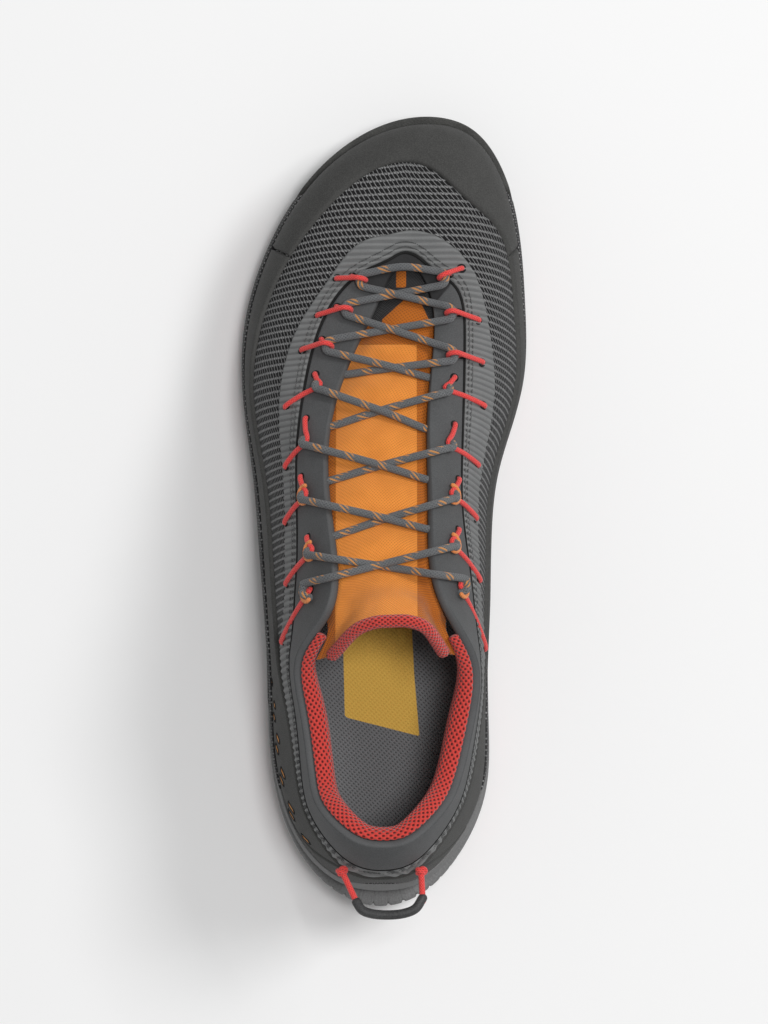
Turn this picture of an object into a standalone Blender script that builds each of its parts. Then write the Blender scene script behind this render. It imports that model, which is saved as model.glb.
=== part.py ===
"""Left approach shoe: sole unit, lasted upper, overlays, padded collar, tongue, laces and loops.

The shoe's own axes, used by every table, are in millimetres: s runs along the foot from the heel
(0) to the toe, m runs across it towards the inner side of the foot, and z runs up from the floor.
"""

import math

import bmesh
import bpy
import numpy as np
from mathutils import Vector

MM = 0.001
LENGTH = 290.0
WALL = 2.0
GAP = 0.3
OVERLAY_GAP = 0.35
SEAM_GAP = 0.35
TOE_STATION = 14
STEPS_PER_STATION = 2

RIM_THICK = 1.9
RIM_THICK_TOE = 0.8
STRIPE_THICK = 1.9
INSOLE_THICK = 4.0
INSOLE_CLEAR = 0.8
INSOLE_EDGE = 0.8
SOLE_CORE_INSET = 4.0
SIDE_STEPS_IN = (252.0, 256.0)
BUMPER_RISES = (260.6, 261.9)

RAND_THICK = 1.2
COUNTER_THICK = 1.4
BAND_THICK = 0.9
PANEL_THICK = 1.0
TOE_CAP_STATIONS = (11.15, 17.2)
COUNTER_STATION = 1.5
PANEL_STATIONS = (16.6, 11.4)
STATION_GAP = 0.03
TONGUE_THICK = 4.0
TONGUE_WING = 0.90
THROAT_CLEAR = 3.3

LACE_D = 2.8
LOOP_D = 1.9
LOOP_CLEAR = 0.65
RING_R = 2.75
RING_ANGLES = (-40, 0, 45, 90, 135, 180)
BIGHT_R = 2.7
CROSSING_LOW, CROSSING_HIGH = 0.62, 1.42
LACE_SIDES = 1

# One row for each section of the last, round the foot from the heel by the outer side to the toe.
# sole: outline. inset: from outline to the upper's lower edge. rise, flare: how the wall leaves it.
# spread, drop: how it meets the top line. top: collar or throat edge. rand, band, panel: the share
# of the wall's height at which each overlay's edge runs.
STATION_COLUMNS = (
    "sole_s", "sole_m", "inset", "rise", "flare", "spread", "drop",
    "top_s", "top_m", "top_z", "rand", "band", "panel",
)
STATIONS = {
    "heel_back": (0.0, -1.0, 12.5, 32, 3.0, 13.0, 13, 26.5, 0.0, 104.5, 0.56, 0.575, 0.72),
    "heel_back_outer": (4.6, -16.5, 9.0, 31, 2.5, 12.0, 14, 28.5, -10.0, 104.0, 0.58, 0.595, 0.735),
    "heel_corner_outer": (17.0, -29.5, 5.8, 28, 1.5, 8.0, 18, 37.0, -20.3, 99.0, 0.65, 0.665, 0.76),
    "heel_outer": (42.0, -39.8, 4.2, 24, 1.5, 5.0, 20, 51.0, -25.6, 91.3, 0.69, 0.705, 0.81),
    "ankle_outer": (68.0, -42.6, 3.8, 22, 1.8, 3.5, 20, 74.0, -28.8, 91.0, 0.64, 0.655, 0.84),
    "collar_outer": (92.0, -43.1, 3.8, 24, 2.5, 5.5, 20, 94.0, -29.6, 98.0, 0.505, 0.60, 0.83),
    "corner_outer": (112.0, -44.3, 4.0, 26, 3.8, 14.5, 20, 108.5, -20.5, 107.8, 0.415, 0.60, 0.725),
    "instep_outer": (130.0, -45.8, 4.0, 26, 3.5, 17.5, 18, 122.5, -17.4, 106.2, 0.375, 0.59, 0.715),
    "waist_outer": (157.0, -48.2, 4.0, 24, 4.0, 15.5, 14, 149.0, -20.2, 92.0, 0.355, 0.63, 0.755),
    "ball_outer": (190.0, -52.3, 3.8, 24.5, 5.0, 19.5, 10, 180.0, -19.0, 76.0, 0.32, 0.64, 0.81),
    "fore_outer": (214.0, -51.4, 3.8, 23, 4.0, 22.5, 7, 201.0, -12.0, 65.5, 0.34, 0.65, 0.79),
    "toe_outer": (239.0, -44.2, 3.8, 26, 3.5, 27.0, 5, 217.5, -4.0, 59.0, 0.41, 0.73, 0.82),
    "toe_corner_outer": (262.0, -31.5, 4.0, 28, 3.0, 33.0, 3, 229.0, 1.0, 56.3, 0.53, 0.81, 0.93),
    "toe_front_outer": (280.5, -12.5, 4.5, 28, 3.0, 36.0, 3, 234.0, 5.0, 55.5, 0.55, 0.88, 0.965),
    "toe_tip": (289.8, 13.0, 5.0, 28, 3.0, 39.0, 4, 235.0, 8.5, 55.5, 0.58, 0.89, 0.965),
    "toe_front_inner": (285.8, 32.0, 4.5, 29, 3.0, 37.0, 2, 233.0, 12.5, 55.8, 0.63, 0.87, 0.965),
    "toe_corner_inner": (270.0, 44.2, 4.0, 28, 3.5, 31.0, 1, 226.0, 16.5, 57.0, 0.56, 0.80, 0.93),
    "toe_inner": (248.0, 50.2, 3.8, 26, 4.5, 26.0, 3, 215.0, 18.8, 60.5, 0.38, 0.70, 0.83),
    "fore_inner": (221.0, 52.5, 3.8, 26, 6.0, 22.0, 6, 199.0, 18.0, 68.0, 0.32, 0.61, 0.79),
    "ball_inner": (192.0, 51.6, 4.0, 24, 8.5, 22.0, 11, 176.0, 16.4, 80.0, 0.32, 0.57, 0.79),
    "waist_inner": (160.0, 42.3, 3.8, 26, 8.0, 17.5, 15, 146.0, 17.0, 95.0, 0.355, 0.57, 0.755),
    "arch_inner": (132.0, 39.0, 3.8, 28, 7.5, 17.0, 18, 124.0, 18.0, 106.0, 0.375, 0.58, 0.715),
    "corner_inner": (111.0, 38.6, 3.8, 28, 6.0, 11.5, 20, 109.0, 23.5, 108.3, 0.415, 0.59, 0.725),
    "collar_inner": (89.0, 38.4, 3.8, 24, 3.5, 4.0, 20, 92.0, 32.2, 97.8, 0.505, 0.60, 0.83),
    "ankle_inner": (66.0, 38.9, 3.8, 22, 2.2, 3.0, 20, 72.5, 31.8, 91.5, 0.64, 0.655, 0.84),
    "heel_inner": (42.0, 37.9, 4.2, 24, 1.5, 4.5, 20, 51.0, 27.0, 92.0, 0.69, 0.705, 0.81),
    "heel_corner_inner": (18.0, 27.6, 6.0, 28, 1.5, 8.0, 18, 37.0, 19.5, 99.5, 0.65, 0.665, 0.76),
    "heel_back_inner": (4.8, 14.6, 9.0, 31, 2.5, 12.0, 14, 28.5, 9.5, 104.1, 0.58, 0.595, 0.735),
}

# Heights along the foot: tread face, base of the rubber, red line, midsole edge and foot bed.
PROFILE_COLUMNS = ("s", "ground", "base", "stripe", "edge", "bed")
PROFILE = (
    (0, 13.0, 13.5, 17.4, 54.0, 27.0),
    (6, 8.5, 9.8, 14.4, 50.0, 27.0),
    (16, 5.2, 6.6, 10.6, 43.5, 27.0),
    (27, 1.6, 4.4, 8.4, 40.5, 27.0),
    (36, 0.0, 3.6, 7.7, 38.8, 27.0),
    (60, 0.0, 3.6, 7.7, 37.6, 27.0),
    (80, 0.0, 3.6, 8.4, 39.2, 26.0),
    (90, 0.0, 3.8, 12.0, 39.8, 25.4),
    (100, 0.0, 4.4, 17.4, 40.0, 25.0),
    (110, 2.0, 11.0, 19.6, 39.8, 24.6),
    (120, 10.0, 12.0, 18.6, 37.6, 23.8),
    (145, 8.0, 9.0, 13.0, 31.0, 20.8),
    (165, 0.0, 4.4, 8.7, 25.4, 18.4),
    (190, 0.0, 3.4, 6.8, 22.2, 16.8),
    (212, 0.0, 3.4, 7.4, 21.6, 16.4),
    (232, 1.4, 3.8, 10.3, 21.0, 17.0),
    (248, 3.6, 4.4, 12.6, 21.6, 18.4),
    (264, 7.6, 7.8, 14.6, 23.2, 20.4),
    (278, 13.0, 13.2, 18.6, 26.5, 22.8),
    (290, 20.0, 20.2, 23.6, 30.0, 25.6),
)

# The midsole's side, from its foot to its edge: height share and inset as a share of the whole
# inset at the edge. The heel block steps in under a stabiliser that bulges at the back.
SIDE_COLUMNS = ("back_height", "back_in", "heel_height", "heel_in", "fore_height", "fore_in")
SIDE = (
    (0.00, 0.03, 0.00, 0.20, 0.00, 0.25),
    (0.18, 0.00, 0.25, 0.00, 0.22, 0.05),
    (0.36, 0.04, 0.54, 0.15, 0.45, 0.00),
    (0.44, 0.86, 0.63, 0.95, 0.62, 0.15),
    (0.64, 0.64, 0.78, 0.60, 0.80, 0.45),
)
HEEL_BACK_TO, HEEL_SIDE_TO = 26.0, 100.0

GROOVE_COLUMNS = ("first_station", "last_station", "count")
GROOVES = (("outer", 0.3, 5.4, 14), ("inner", 22.7, 27.7, 14))
GROOVE_SIZE = (1.3, 8.0, 1.1)
GROOVE_RISE = (0.28, 0.5)
GROOVE_ABOVE_STRIPE = 4.5
GROOVE_MOUTH = 1.6
GROOVE_REACH = 3.0

TREAD_COLUMNS = ("first_s", "last_s", "rows", "across", "length", "width")
TREAD = (
    ("heel", 38.0, 99.0, 4, 4, 13.0, 12.0),
    ("forefoot", 170.0, 234.0, 6, 4, 8.0, 14.0),
)
LUG_EMBED = 1.0
LUG_EDGE_INSET = 8.5
UNDERSIDE_INSETS = (5.0, 1.2, 0.1)
UNDERSIDE_CHAMFER = 1.5
BUMPER_CHAMFER = 1.0
RIDGE_INSETS = (0.5, 1.5, 2.2)

# Tongue sections that lie under the throat's edges: section, then the middle's place and height.
TONGUE_COLUMNS = ("station", "mid_s", "mid_z")
TONGUE = (
    (13.3, 234.6, 53.1),
    (12.7, 232.4, 54.7),
    (12.0, 228.0, 56.8),
    (11.0, 218.0, 60.3),
    (10.0, 201.0, 66.6),
    (9.0, 181.0, 76.0),
    (8.0, 152.0, 90.0),
    (7.0, 131.0, 100.0),
    (6.2, 120.0, 106.5),
)
# Free sections of the tongue's flared top: middle, outer side and inner side as (s, m, z).
TONGUE_TOP = (
    ((113.5, 3.0, 114.0), (103.0, -16.5, 105.5), (104.0, 19.0, 105.5)),
    ((107.5, 3.0, 120.6), (93.5, -20.5, 101.5), (95.0, 23.5, 102.0)),
)
FLANK_TURN = (-1.5, 0.0, -2.0)
FLANK_ACROSS = (0.0, 1.2, 0.0)
TONGUE_ACROSS = (-1.0, -0.66, -0.33, 0.0, 0.33, 0.66, 1.0)

# Padded collar lining in section: outwards from the top line, and up along the wall.
LINING_SECTION = (
    (-2.5, -24.0), (-2.5, 0.6), (-0.8, 0.7), (-1.0, 2.2), (-4.5, 3.2),
    (-8.6, 0.6), (-9.4, -6.0), (-6.5, -17.0), (-3.6, -24.0),
)
LINING_END_STATION = 5.5
LINING_THIN_FROM = 3.6
LINING_THIN_END = 0.55
LINING_DEPTH = 2.5

# Cord loops along the throat: hole at the outer end, second hole, and the lace's bight between,
# each as section and share of the wall's height.
LOOP_COLUMNS = ("outer_u", "outer_w", "inner_u", "inner_w", "bight_u", "bight_w")
LOOPS = {
    "outer_1": (11.22, 0.79, 11.42, 0.86, 11.50, 0.92),
    "outer_2": (10.45, 0.76, 10.72, 0.84, 10.74, 0.91),
    "outer_3": (9.82, 0.74, 10.08, 0.83, 9.98, 0.90),
    "outer_4": (8.92, 0.71, 9.50, 0.86, 9.22, 0.90),
    "outer_5": (8.24, 0.69, 8.84, 0.86, 8.50, 0.87),
    "outer_6": (7.52, 0.63, 8.16, 0.82, 7.86, 0.84),
    "outer_7": (6.50, 0.63, 7.40, 0.83, 7.12, 0.86),
    "outer_8": (5.30, 0.66, 6.50, 0.86, 6.24, 0.87),
    "inner_1": (16.60, 0.79, 16.40, 0.87, 16.30, 0.92),
    "inner_2": (17.80, 0.70, 17.42, 0.84, 17.30, 0.91),
    "inner_3": (18.46, 0.68, 18.20, 0.82, 18.14, 0.90),
    "inner_4": (19.06, 0.66, 18.50, 0.86, 18.74, 0.90),
    "inner_5": (19.76, 0.64, 19.16, 0.85, 19.46, 0.88),
    "inner_6": (20.50, 0.62, 19.84, 0.80, 20.10, 0.85),
    "inner_7": (21.50, 0.62, 20.56, 0.80, 20.84, 0.87),
    "inner_8": (22.70, 0.64, 21.40, 0.85, 21.72, 0.88),
}
ROWS = 8
BAR_BOW = (4.5, 0.0, 0.6)
RIM_HOP = 1.4
RIM_SHARES = (0.2, 0.75)

# Heel pull loop: section and height share of its knots, then one half of its sleeve.
PULL_KNOT_AT = (1.1, 0.66)
PULL_SLEEVE = ((6.2, 12.2, 87.6), (2.9, 10.6, 88.8), (1.2, 6.2, 89.4), (0.8, 0.0, 89.6))
PULL_CORD_D = 2.2
PULL_SLEEVE_D = 3.4
KNOT_D = 4.6

RUBBER_DARK = (0.045, 0.045, 0.043, 0.85)
MIDSOLE_GREY = (0.14, 0.14, 0.14, 0.8)
SIGNAL_RED = (0.78, 0.09, 0.07, 0.6)
MESH_DARK = (0.06, 0.06, 0.06, 0.9)
RAND_BLACK = (0.04, 0.04, 0.04, 0.8)
BAND_GREY = (0.12, 0.12, 0.12, 0.8)
PANEL_GREY = (0.07, 0.07, 0.08, 0.7)
LINING_RED = (0.5, 0.04, 0.035, 0.95)
TONGUE_ORANGE = (0.75, 0.24, 0.03, 0.9)
LACE_GREY = (0.11, 0.11, 0.12, 0.9)
INSOLE_GREY = (0.05, 0.05, 0.05, 0.95)

TABLE = np.array(list(STATIONS.values()), float)
STATION_COUNT = len(TABLE)
CHORDS = np.linalg.norm(np.roll(TABLE[:, :2], -1, axis=0) - TABLE[:, :2], axis=1)
KNOTS = np.concatenate([[0.0], np.cumsum(CHORDS)[:-1]])
ROUND = CHORDS.sum()
HEIGHTS = np.array(PROFILE, float)
BUMPER_STATIONS = (11.75, 16.25)
AROUND = np.sort(np.concatenate([
    np.arange(STATION_COUNT * STEPS_PER_STATION) / STEPS_PER_STATION, BUMPER_STATIONS]))


def spline_slopes():
    """Second derivatives of the closed cubic spline through the section table."""
    before = np.roll(CHORDS, 1)
    system = np.zeros((STATION_COUNT, STATION_COUNT))
    for row in range(STATION_COUNT):
        system[row, row - 1] += before[row]
        system[row, row] += 2 * (before[row] + CHORDS[row])
        system[row, (row + 1) % STATION_COUNT] += CHORDS[row]
    ahead = (np.roll(TABLE, -1, axis=0) - TABLE) / CHORDS[:, None]
    behind = (TABLE - np.roll(TABLE, 1, axis=0)) / before[:, None]
    return np.linalg.solve(system, 6 * (ahead - behind))


SLOPES = spline_slopes()


def section(station):
    """Every column of the section table at a station between the named ones."""
    station = np.mod(np.asarray(station, float), STATION_COUNT)
    here = np.minimum(np.floor(station).astype(int), STATION_COUNT - 1)
    after = (here + 1) % STATION_COUNT
    span = CHORDS[here][..., None]
    b = (station - here)[..., None]
    a = 1 - b
    bend = ((a ** 3 - a) * SLOPES[here] + (b ** 3 - b) * SLOPES[after]) * span ** 2 / 6
    return a * TABLE[here] + b * TABLE[after] + bend


def height(column, s):
    """One of the side profile's heights at a place along the foot."""
    xs = HEIGHTS[:, 0]
    ys = HEIGHTS[:, PROFILE_COLUMNS.index(column)]
    s = np.clip(s, xs[0], xs[-1])
    step = np.diff(xs)
    rise = np.diff(ys) / step
    slope = np.concatenate([[rise[0]], np.zeros(len(xs) - 2), [rise[-1]]])
    for row in range(1, len(xs) - 1):
        if rise[row - 1] * rise[row] > 0:
            near = 2 * step[row] + step[row - 1]
            far = step[row] + 2 * step[row - 1]
            slope[row] = (near + far) / (near / rise[row - 1] + far / rise[row])
    k = np.clip(np.searchsorted(xs, s, side="right") - 1, 0, len(xs) - 2)
    t = (s - xs[k]) / step[k]
    start = (2 * t ** 3 - 3 * t ** 2 + 1) * ys[k] + (t ** 3 - 2 * t ** 2 + t) * step[k] * slope[k]
    end = (3 * t ** 2 - 2 * t ** 3) * ys[k + 1] + (t ** 3 - t ** 2) * step[k] * slope[k + 1]
    return start + end


def ramp(value, low, high):
    """Smooth step from 0 at low to 1 at high."""
    t = np.clip((np.asarray(value, float) - low) / (high - low), 0, 1)
    return t * t * (3 - 2 * t)


def outline(station, inward=0.0):
    """Sole outline at a station, moved inwards, and the outward direction there, in plan."""
    station = np.asarray(station, float)
    step = 0.02
    along = section(station + step)[..., :2] - section(station - step)[..., :2]
    along /= np.linalg.norm(along, axis=-1, keepdims=True)
    outward = np.stack([along[..., 1], -along[..., 0]], axis=-1)
    return section(station)[..., :2] - outward * np.asarray(inward)[..., None], outward


def girth(station, share):
    """Outside of the upper at a station and a share of the way from sole to top line."""
    station, share = np.broadcast_arrays(np.asarray(station, float), np.asarray(share, float))
    row = section(station)
    base, outward = outline(station, row[..., 2])
    foot = np.concatenate([base, height("bed", base[..., 0])[..., None] + 0.5], axis=-1)
    top = row[..., 7:10]
    away = base - top[..., :2]
    away /= np.linalg.norm(away, axis=-1, keepdims=True)
    low = foot + np.concatenate([outward * row[..., 4:5], row[..., 3:4]], axis=-1)
    high = top + np.concatenate([away * row[..., 5:6], -row[..., 6:7]], axis=-1)
    w = share[..., None]
    near = (1 - w) ** 3 * foot + 3 * w * (1 - w) ** 2 * low
    return near + 3 * w ** 2 * (1 - w) * high + w ** 3 * top


def shell(station, share, out=0.0):
    """A point off the upper's outside along its normal."""
    station, share = np.broadcast_arrays(np.asarray(station, float), np.asarray(share, float))
    step = 0.01
    along = girth(station + step, share) - girth(station - step, share)
    low, high = np.maximum(share - step, 0), np.minimum(share + step, 1)
    up = girth(station, high) - girth(station, low)
    normal = np.cross(along, up)
    normal /= np.linalg.norm(normal, axis=-1, keepdims=True)
    return girth(station, share) + normal * np.asarray(out)[..., None]


def edge_share(station):
    """Share of the upper's height that the midsole's edge covers."""
    low, high = np.zeros_like(station), np.full_like(station, 0.6)
    for _ in range(30):
        middle = (low + high) / 2
        point = girth(station, middle)
        below = point[..., 2] < height("edge", section(station)[..., 0])
        low, high = np.where(below, middle, low), np.where(below, high, middle)
    return np.maximum((low + high) / 2, 0.04)


def seam(column, station):
    """Share of the upper's height at which an overlay's seam runs."""
    return np.clip(section(station)[..., STATION_COLUMNS.index(column)], 0.0, 0.97)


def wall_rows(station):
    """Shares of the upper's height that every piece's facets have in common."""
    edge, rand = edge_share(station), seam("rand", station)
    band, panel = seam("band", station), seam("panel", station)
    return np.stack([np.zeros_like(edge), edge, (edge + rand) / 2, rand, band,
                     (band + panel) / 2, panel, np.ones_like(edge)])


MIDDLE_S = (PULL_SLEEVE[-1][0] - PULL_SLEEVE_D / 2 + LENGTH) / 2
MIDDLE_M = 0.2


def place(points):
    """Shoe coordinates in millimetres to the part's frame in metres: toe to -Y, outer side to +X."""
    points = np.asarray(points, float)
    x, y = MIDDLE_M - points[..., 1], MIDDLE_S - points[..., 0]
    return np.stack([x, y, points[..., 2]], axis=-1) * MM


def material(name, finish):
    """Principled material from a colour and a roughness."""
    made = bpy.data.materials.new(name)
    made.use_nodes = True
    shader = made.node_tree.nodes["Principled BSDF"]
    shader.inputs["Base Color"].default_value = (*finish[:3], 1.0)
    shader.inputs["Roughness"].default_value = finish[3]
    shader.inputs["Metallic"].default_value = 0.0
    made.diffuse_color = (*finish[:3], 1.0)
    return made


def add_object(name, mesh, finish, home):
    """Put a mesh in a collection under its name, with its own material."""
    mesh.materials.clear()
    mesh.materials.append(material(name, finish))
    made = bpy.data.objects.new(name, mesh)
    home.objects.link(made)
    return made


def grid(name, rows, closed_round, closed_across=False, caps=(), turned=()):
    """Triangulated mesh over rows of points, each row the same way round the shoe.

    Caps close a row by strips from one side of the foot to the other. Turned rows take the other
    diagonal, so that facing layers have the same facets.
    """
    count, around = len(rows), len(rows[0])
    verts = place(np.concatenate(rows)).tolist()
    faces = []
    last_row = count if closed_across else count - 1
    last_column = around if closed_round else around - 1
    for row in range(last_row):
        above = (row + 1) % count
        for column in range(last_column):
            beside = (column + 1) % around
            a, b = row * around + column, row * around + beside
            c, d = above * around + beside, above * around + column
            faces += [(a, b, d), (b, c, d)] if row in turned else [(a, b, c), (a, c, d)]
    for row, upward in caps:
        for column in range(around // 2):
            a, b = row * around + column, row * around + column + 1
            d, c = row * around + (around - column) % around, row * around + around - column - 1
            strip = [(a, b, c), (a, c, d)] if a != d else [(a, b, c)]
            strip = [face for face in strip if len(set(face)) == 3]
            faces += [face[::-1] for face in strip] if upward else strip
    mesh = bpy.data.meshes.new(name)
    mesh.from_pydata(verts, [], faces)
    shell_mesh = bmesh.new()
    shell_mesh.from_mesh(mesh)
    bmesh.ops.recalc_face_normals(shell_mesh, faces=shell_mesh.faces)
    shell_mesh.to_mesh(mesh)
    shell_mesh.free()
    return mesh


def thicken(made, thickness, outward):
    """Give an open sheet its thickness, outwards or inwards."""
    solidify = made.modifiers.new("Thickness", "SOLIDIFY")
    solidify.thickness = thickness * MM
    solidify.offset = 1.0 if outward else -1.0
    solidify.use_even_offset = True
    solidify.use_rim = True
    return made


def face_outwards(mesh):
    """Turn an open sheet's faces away from the inside of the shoe."""
    sheet = bmesh.new()
    sheet.from_mesh(mesh)
    sheet.faces.ensure_lookup_table()
    core = Vector(place((140.0, 0.0, 20.0)))
    votes = sum(f.calc_area() * f.normal.dot(f.calc_center_median() - core) for f in sheet.faces)
    if votes < 0:
        bmesh.ops.reverse_faces(sheet, faces=sheet.faces)
    sheet.to_mesh(mesh)
    sheet.free()
    return mesh


def build_upper(home):
    """One hollow shell from the sole to the top line, open below, at the collar and the throat."""
    rows = [girth(AROUND, share) for share in wall_rows(AROUND)]
    mesh = face_outwards(grid("upper", rows, closed_round=True))
    return thicken(add_object("upper", mesh, MESH_DARK, home), WALL, outward=False)


def overlay(name, first, last, low, high, thickness, finish, home):
    """Sheet on the upper from one station to another, between two of the shared rows."""
    closed = last - first >= STATION_COUNT
    twice = np.concatenate([AROUND - STATION_COUNT, AROUND])
    inside = twice[(twice > first + 0.12) & (twice < last - 0.12)]
    stations = AROUND if closed else np.concatenate([[first], inside, [last]])
    shares = wall_rows(stations)[low:high + 1].copy()
    tall = np.linalg.norm(girth(stations, shares[-1]) - girth(stations, shares[0]), axis=-1)
    trim = SEAM_GAP / tall * (shares[-1] - shares[0])
    shares[0] += trim
    if high < len(wall_rows(stations)) - 1:
        shares[-1] -= trim
    rows = [shell(stations, share, OVERLAY_GAP) for share in shares]
    mesh = face_outwards(grid(name, rows, closed_round=closed))
    return thicken(add_object(name, mesh, finish, home), thickness, outward=True)


def build_overlays(home):
    """Toe cap, rands, heel counter, ribbed band and the smooth panel round collar and throat."""
    gap = STATION_GAP
    cap_outer, cap_inner = TOE_CAP_STATIONS
    counter = COUNTER_STATION
    behind = STATION_COUNT - counter
    overlay("toe_cap", cap_outer, cap_inner, 1, 3, RAND_THICK, RAND_BLACK, home)
    overlay("rand_outer", counter, cap_outer - gap, 1, 3, RAND_THICK, RAND_BLACK, home)
    overlay("rand_inner", cap_inner + gap, behind, 1, 3, RAND_THICK, RAND_BLACK, home)
    overlay("heel_counter", gap - counter, counter - gap, 1, 3, COUNTER_THICK, RAND_BLACK, home)
    overlay("ribbed_band", 0, STATION_COUNT, 4, 6, BAND_THICK, BAND_GREY, home)
    first, last = PANEL_STATIONS
    overlay("collar_panel", first - STATION_COUNT, last, 6, 7, PANEL_THICK, PANEL_GREY, home)


def toe_inset(station, row):
    """Inset of the midsole's side where the toe bumper covers it."""
    inset = section(station)[..., 2]
    return inset - OVERLAY_GAP - RIM_THICK_TOE - 0.1 * row


def side_ring(station, row):
    """One ring of the midsole's side, counted from its foot."""
    s = section(station)[..., 0]
    edge = height("edge", s)
    rim = rim_point(station)
    plan, outward = outline(station)
    rim_in = ((plan - rim[..., :2]) * outward).sum(axis=-1)
    back_h, back_in, heel_h, heel_in, fore_h, fore_in = SIDE[row]
    back = 1 - ramp(s, 2.0, HEEL_BACK_TO)
    heel = (1 - ramp(s, HEEL_SIDE_TO - 25, HEEL_SIDE_TO)) * (1 - back)
    fore = 1 - back - heel
    share = back * back_h + heel * heel_h + fore * fore_h
    inset = rim_in * (back * back_in + heel * heel_in + fore * fore_in)
    front = ramp(s, *SIDE_STEPS_IN)
    inset = inset * (1 - front) + toe_inset(station, row) * front
    plan, _ = outline(station, inset)
    foot = height("stripe", plan[..., 0]) + STRIPE_THICK / 2 + GAP
    return np.concatenate([plan, (foot + (edge - foot) * share)[..., None]], axis=-1)


def rim_point(station):
    """Outer corner of the midsole's edge, its thickness away from the upper."""
    front = ramp(section(station)[..., 0], *SIDE_STEPS_IN)
    thick = RIM_THICK + (RIM_THICK_TOE - RIM_THICK) * front
    return shell(station, edge_share(station), OVERLAY_GAP + thick)


def level_ring(station, inset, column, lift=0.0):
    """Ring at an inset from the outline, at a lift above one of the side profile's heights."""
    plan, _ = outline(station, inset)
    z = height(column, plan[..., 0]) + lift
    return np.concatenate([plan, z[..., None]], axis=-1)


def core_inset(station):
    """Inset of the flat core that the three layers of the sole share."""
    front = ramp(section(station)[..., 0], *SIDE_STEPS_IN)
    return SOLE_CORE_INSET + 2.0 * front


def build_midsole(home, tools):
    """Foam cup: stepped side, edge round the upper, and the bed under the foot."""
    share = edge_share(AROUND)
    bed = shell(AROUND, 0.0 * share, OVERLAY_GAP)
    bed[:, 2] = height("bed", bed[:, 0])
    rows = [level_ring(AROUND, core_inset(AROUND), "stripe", STRIPE_THICK / 2 + GAP)]
    rows += [side_ring(AROUND, row) for row in range(len(SIDE))]
    rows += [rim_point(AROUND), shell(AROUND, share, OVERLAY_GAP), bed]
    mesh = grid("midsole", rows, closed_round=True, caps=((0, False), (len(rows) - 1, True)),
                turned=(0,))
    made = add_object("midsole", mesh, MIDSOLE_GREY, home)
    cut = made.modifiers.new("Heel ribs", "BOOLEAN")
    cut.operation = "DIFFERENCE"
    cut.object = build_grooves(tools)
    return made


def build_grooves(tools):
    """Slanted wedge cutters between the ribs round the heel block."""
    wide, tall, deep = GROOVE_SIZE
    cutter = bmesh.new()
    for _, first, last, count in GROOVES:
        for step in range(count):
            station = np.array(first + (last - first) * step / (count - 1))
            s = section(station)[0]
            low = float(height("stripe", s)) + GROOVE_ABOVE_STRIPE
            middle, outward = outline(station, 0.0)
            lean = math.copysign(GROOVE_RISE[0] + GROOVE_RISE[1] * (1 - s / 100), station - 14)
            along = np.array([outward[1], -outward[0]]) * lean
            tip_low = np.array([*(middle - outward * deep), low])
            tip_high = np.array([*(middle - outward * deep + along * tall), low + tall])
            side = np.array([outward[1], -outward[0], 0.0]) * wide * GROOVE_MOUTH
            open_out = np.array([*outward, 0.0]) * deep * GROOVE_REACH
            corners = []
            for tip in (tip_low, tip_high):
                corners += [tip, tip + open_out + side, tip + open_out - side]
            verts = [cutter.verts.new(place(corner).tolist()) for corner in corners]
            made = bmesh.ops.convex_hull(cutter, input=verts)
            bmesh.ops.recalc_face_normals(
                cutter, faces=[face for face in made["geom"] if isinstance(face, bmesh.types.BMFace)])
    mesh = bpy.data.meshes.new("heel_rib_cutters")
    cutter.to_mesh(mesh)
    cutter.free()
    return add_tool("heel_rib_cutters", mesh, tools)


def add_tool(name, mesh, tools):
    """Keep a cutter out of the model."""
    made = bpy.data.objects.new(name, mesh)
    made.hide_render = True
    made.display_type = "WIRE"
    tools.objects.link(made)
    return made


def build_stripe(home):
    """Thin red layer between midsole and outsole, covered by the bumper at the toe."""
    edge_in = ramp(section(AROUND)[:, 0], *SIDE_STEPS_IN) * toe_inset(AROUND, 0)
    half = STRIPE_THICK / 2
    rows = [
        level_ring(AROUND, core_inset(AROUND), "stripe", -half),
        level_ring(AROUND, edge_in, "stripe", -half),
        level_ring(AROUND, edge_in, "stripe", half),
        level_ring(AROUND, core_inset(AROUND), "stripe", half),
    ]
    mesh = grid("sole_stripe", rows, closed_round=True, caps=((0, False), (3, True)), turned=(0,))
    return add_object("sole_stripe", mesh, SIGNAL_RED, home)


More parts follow.
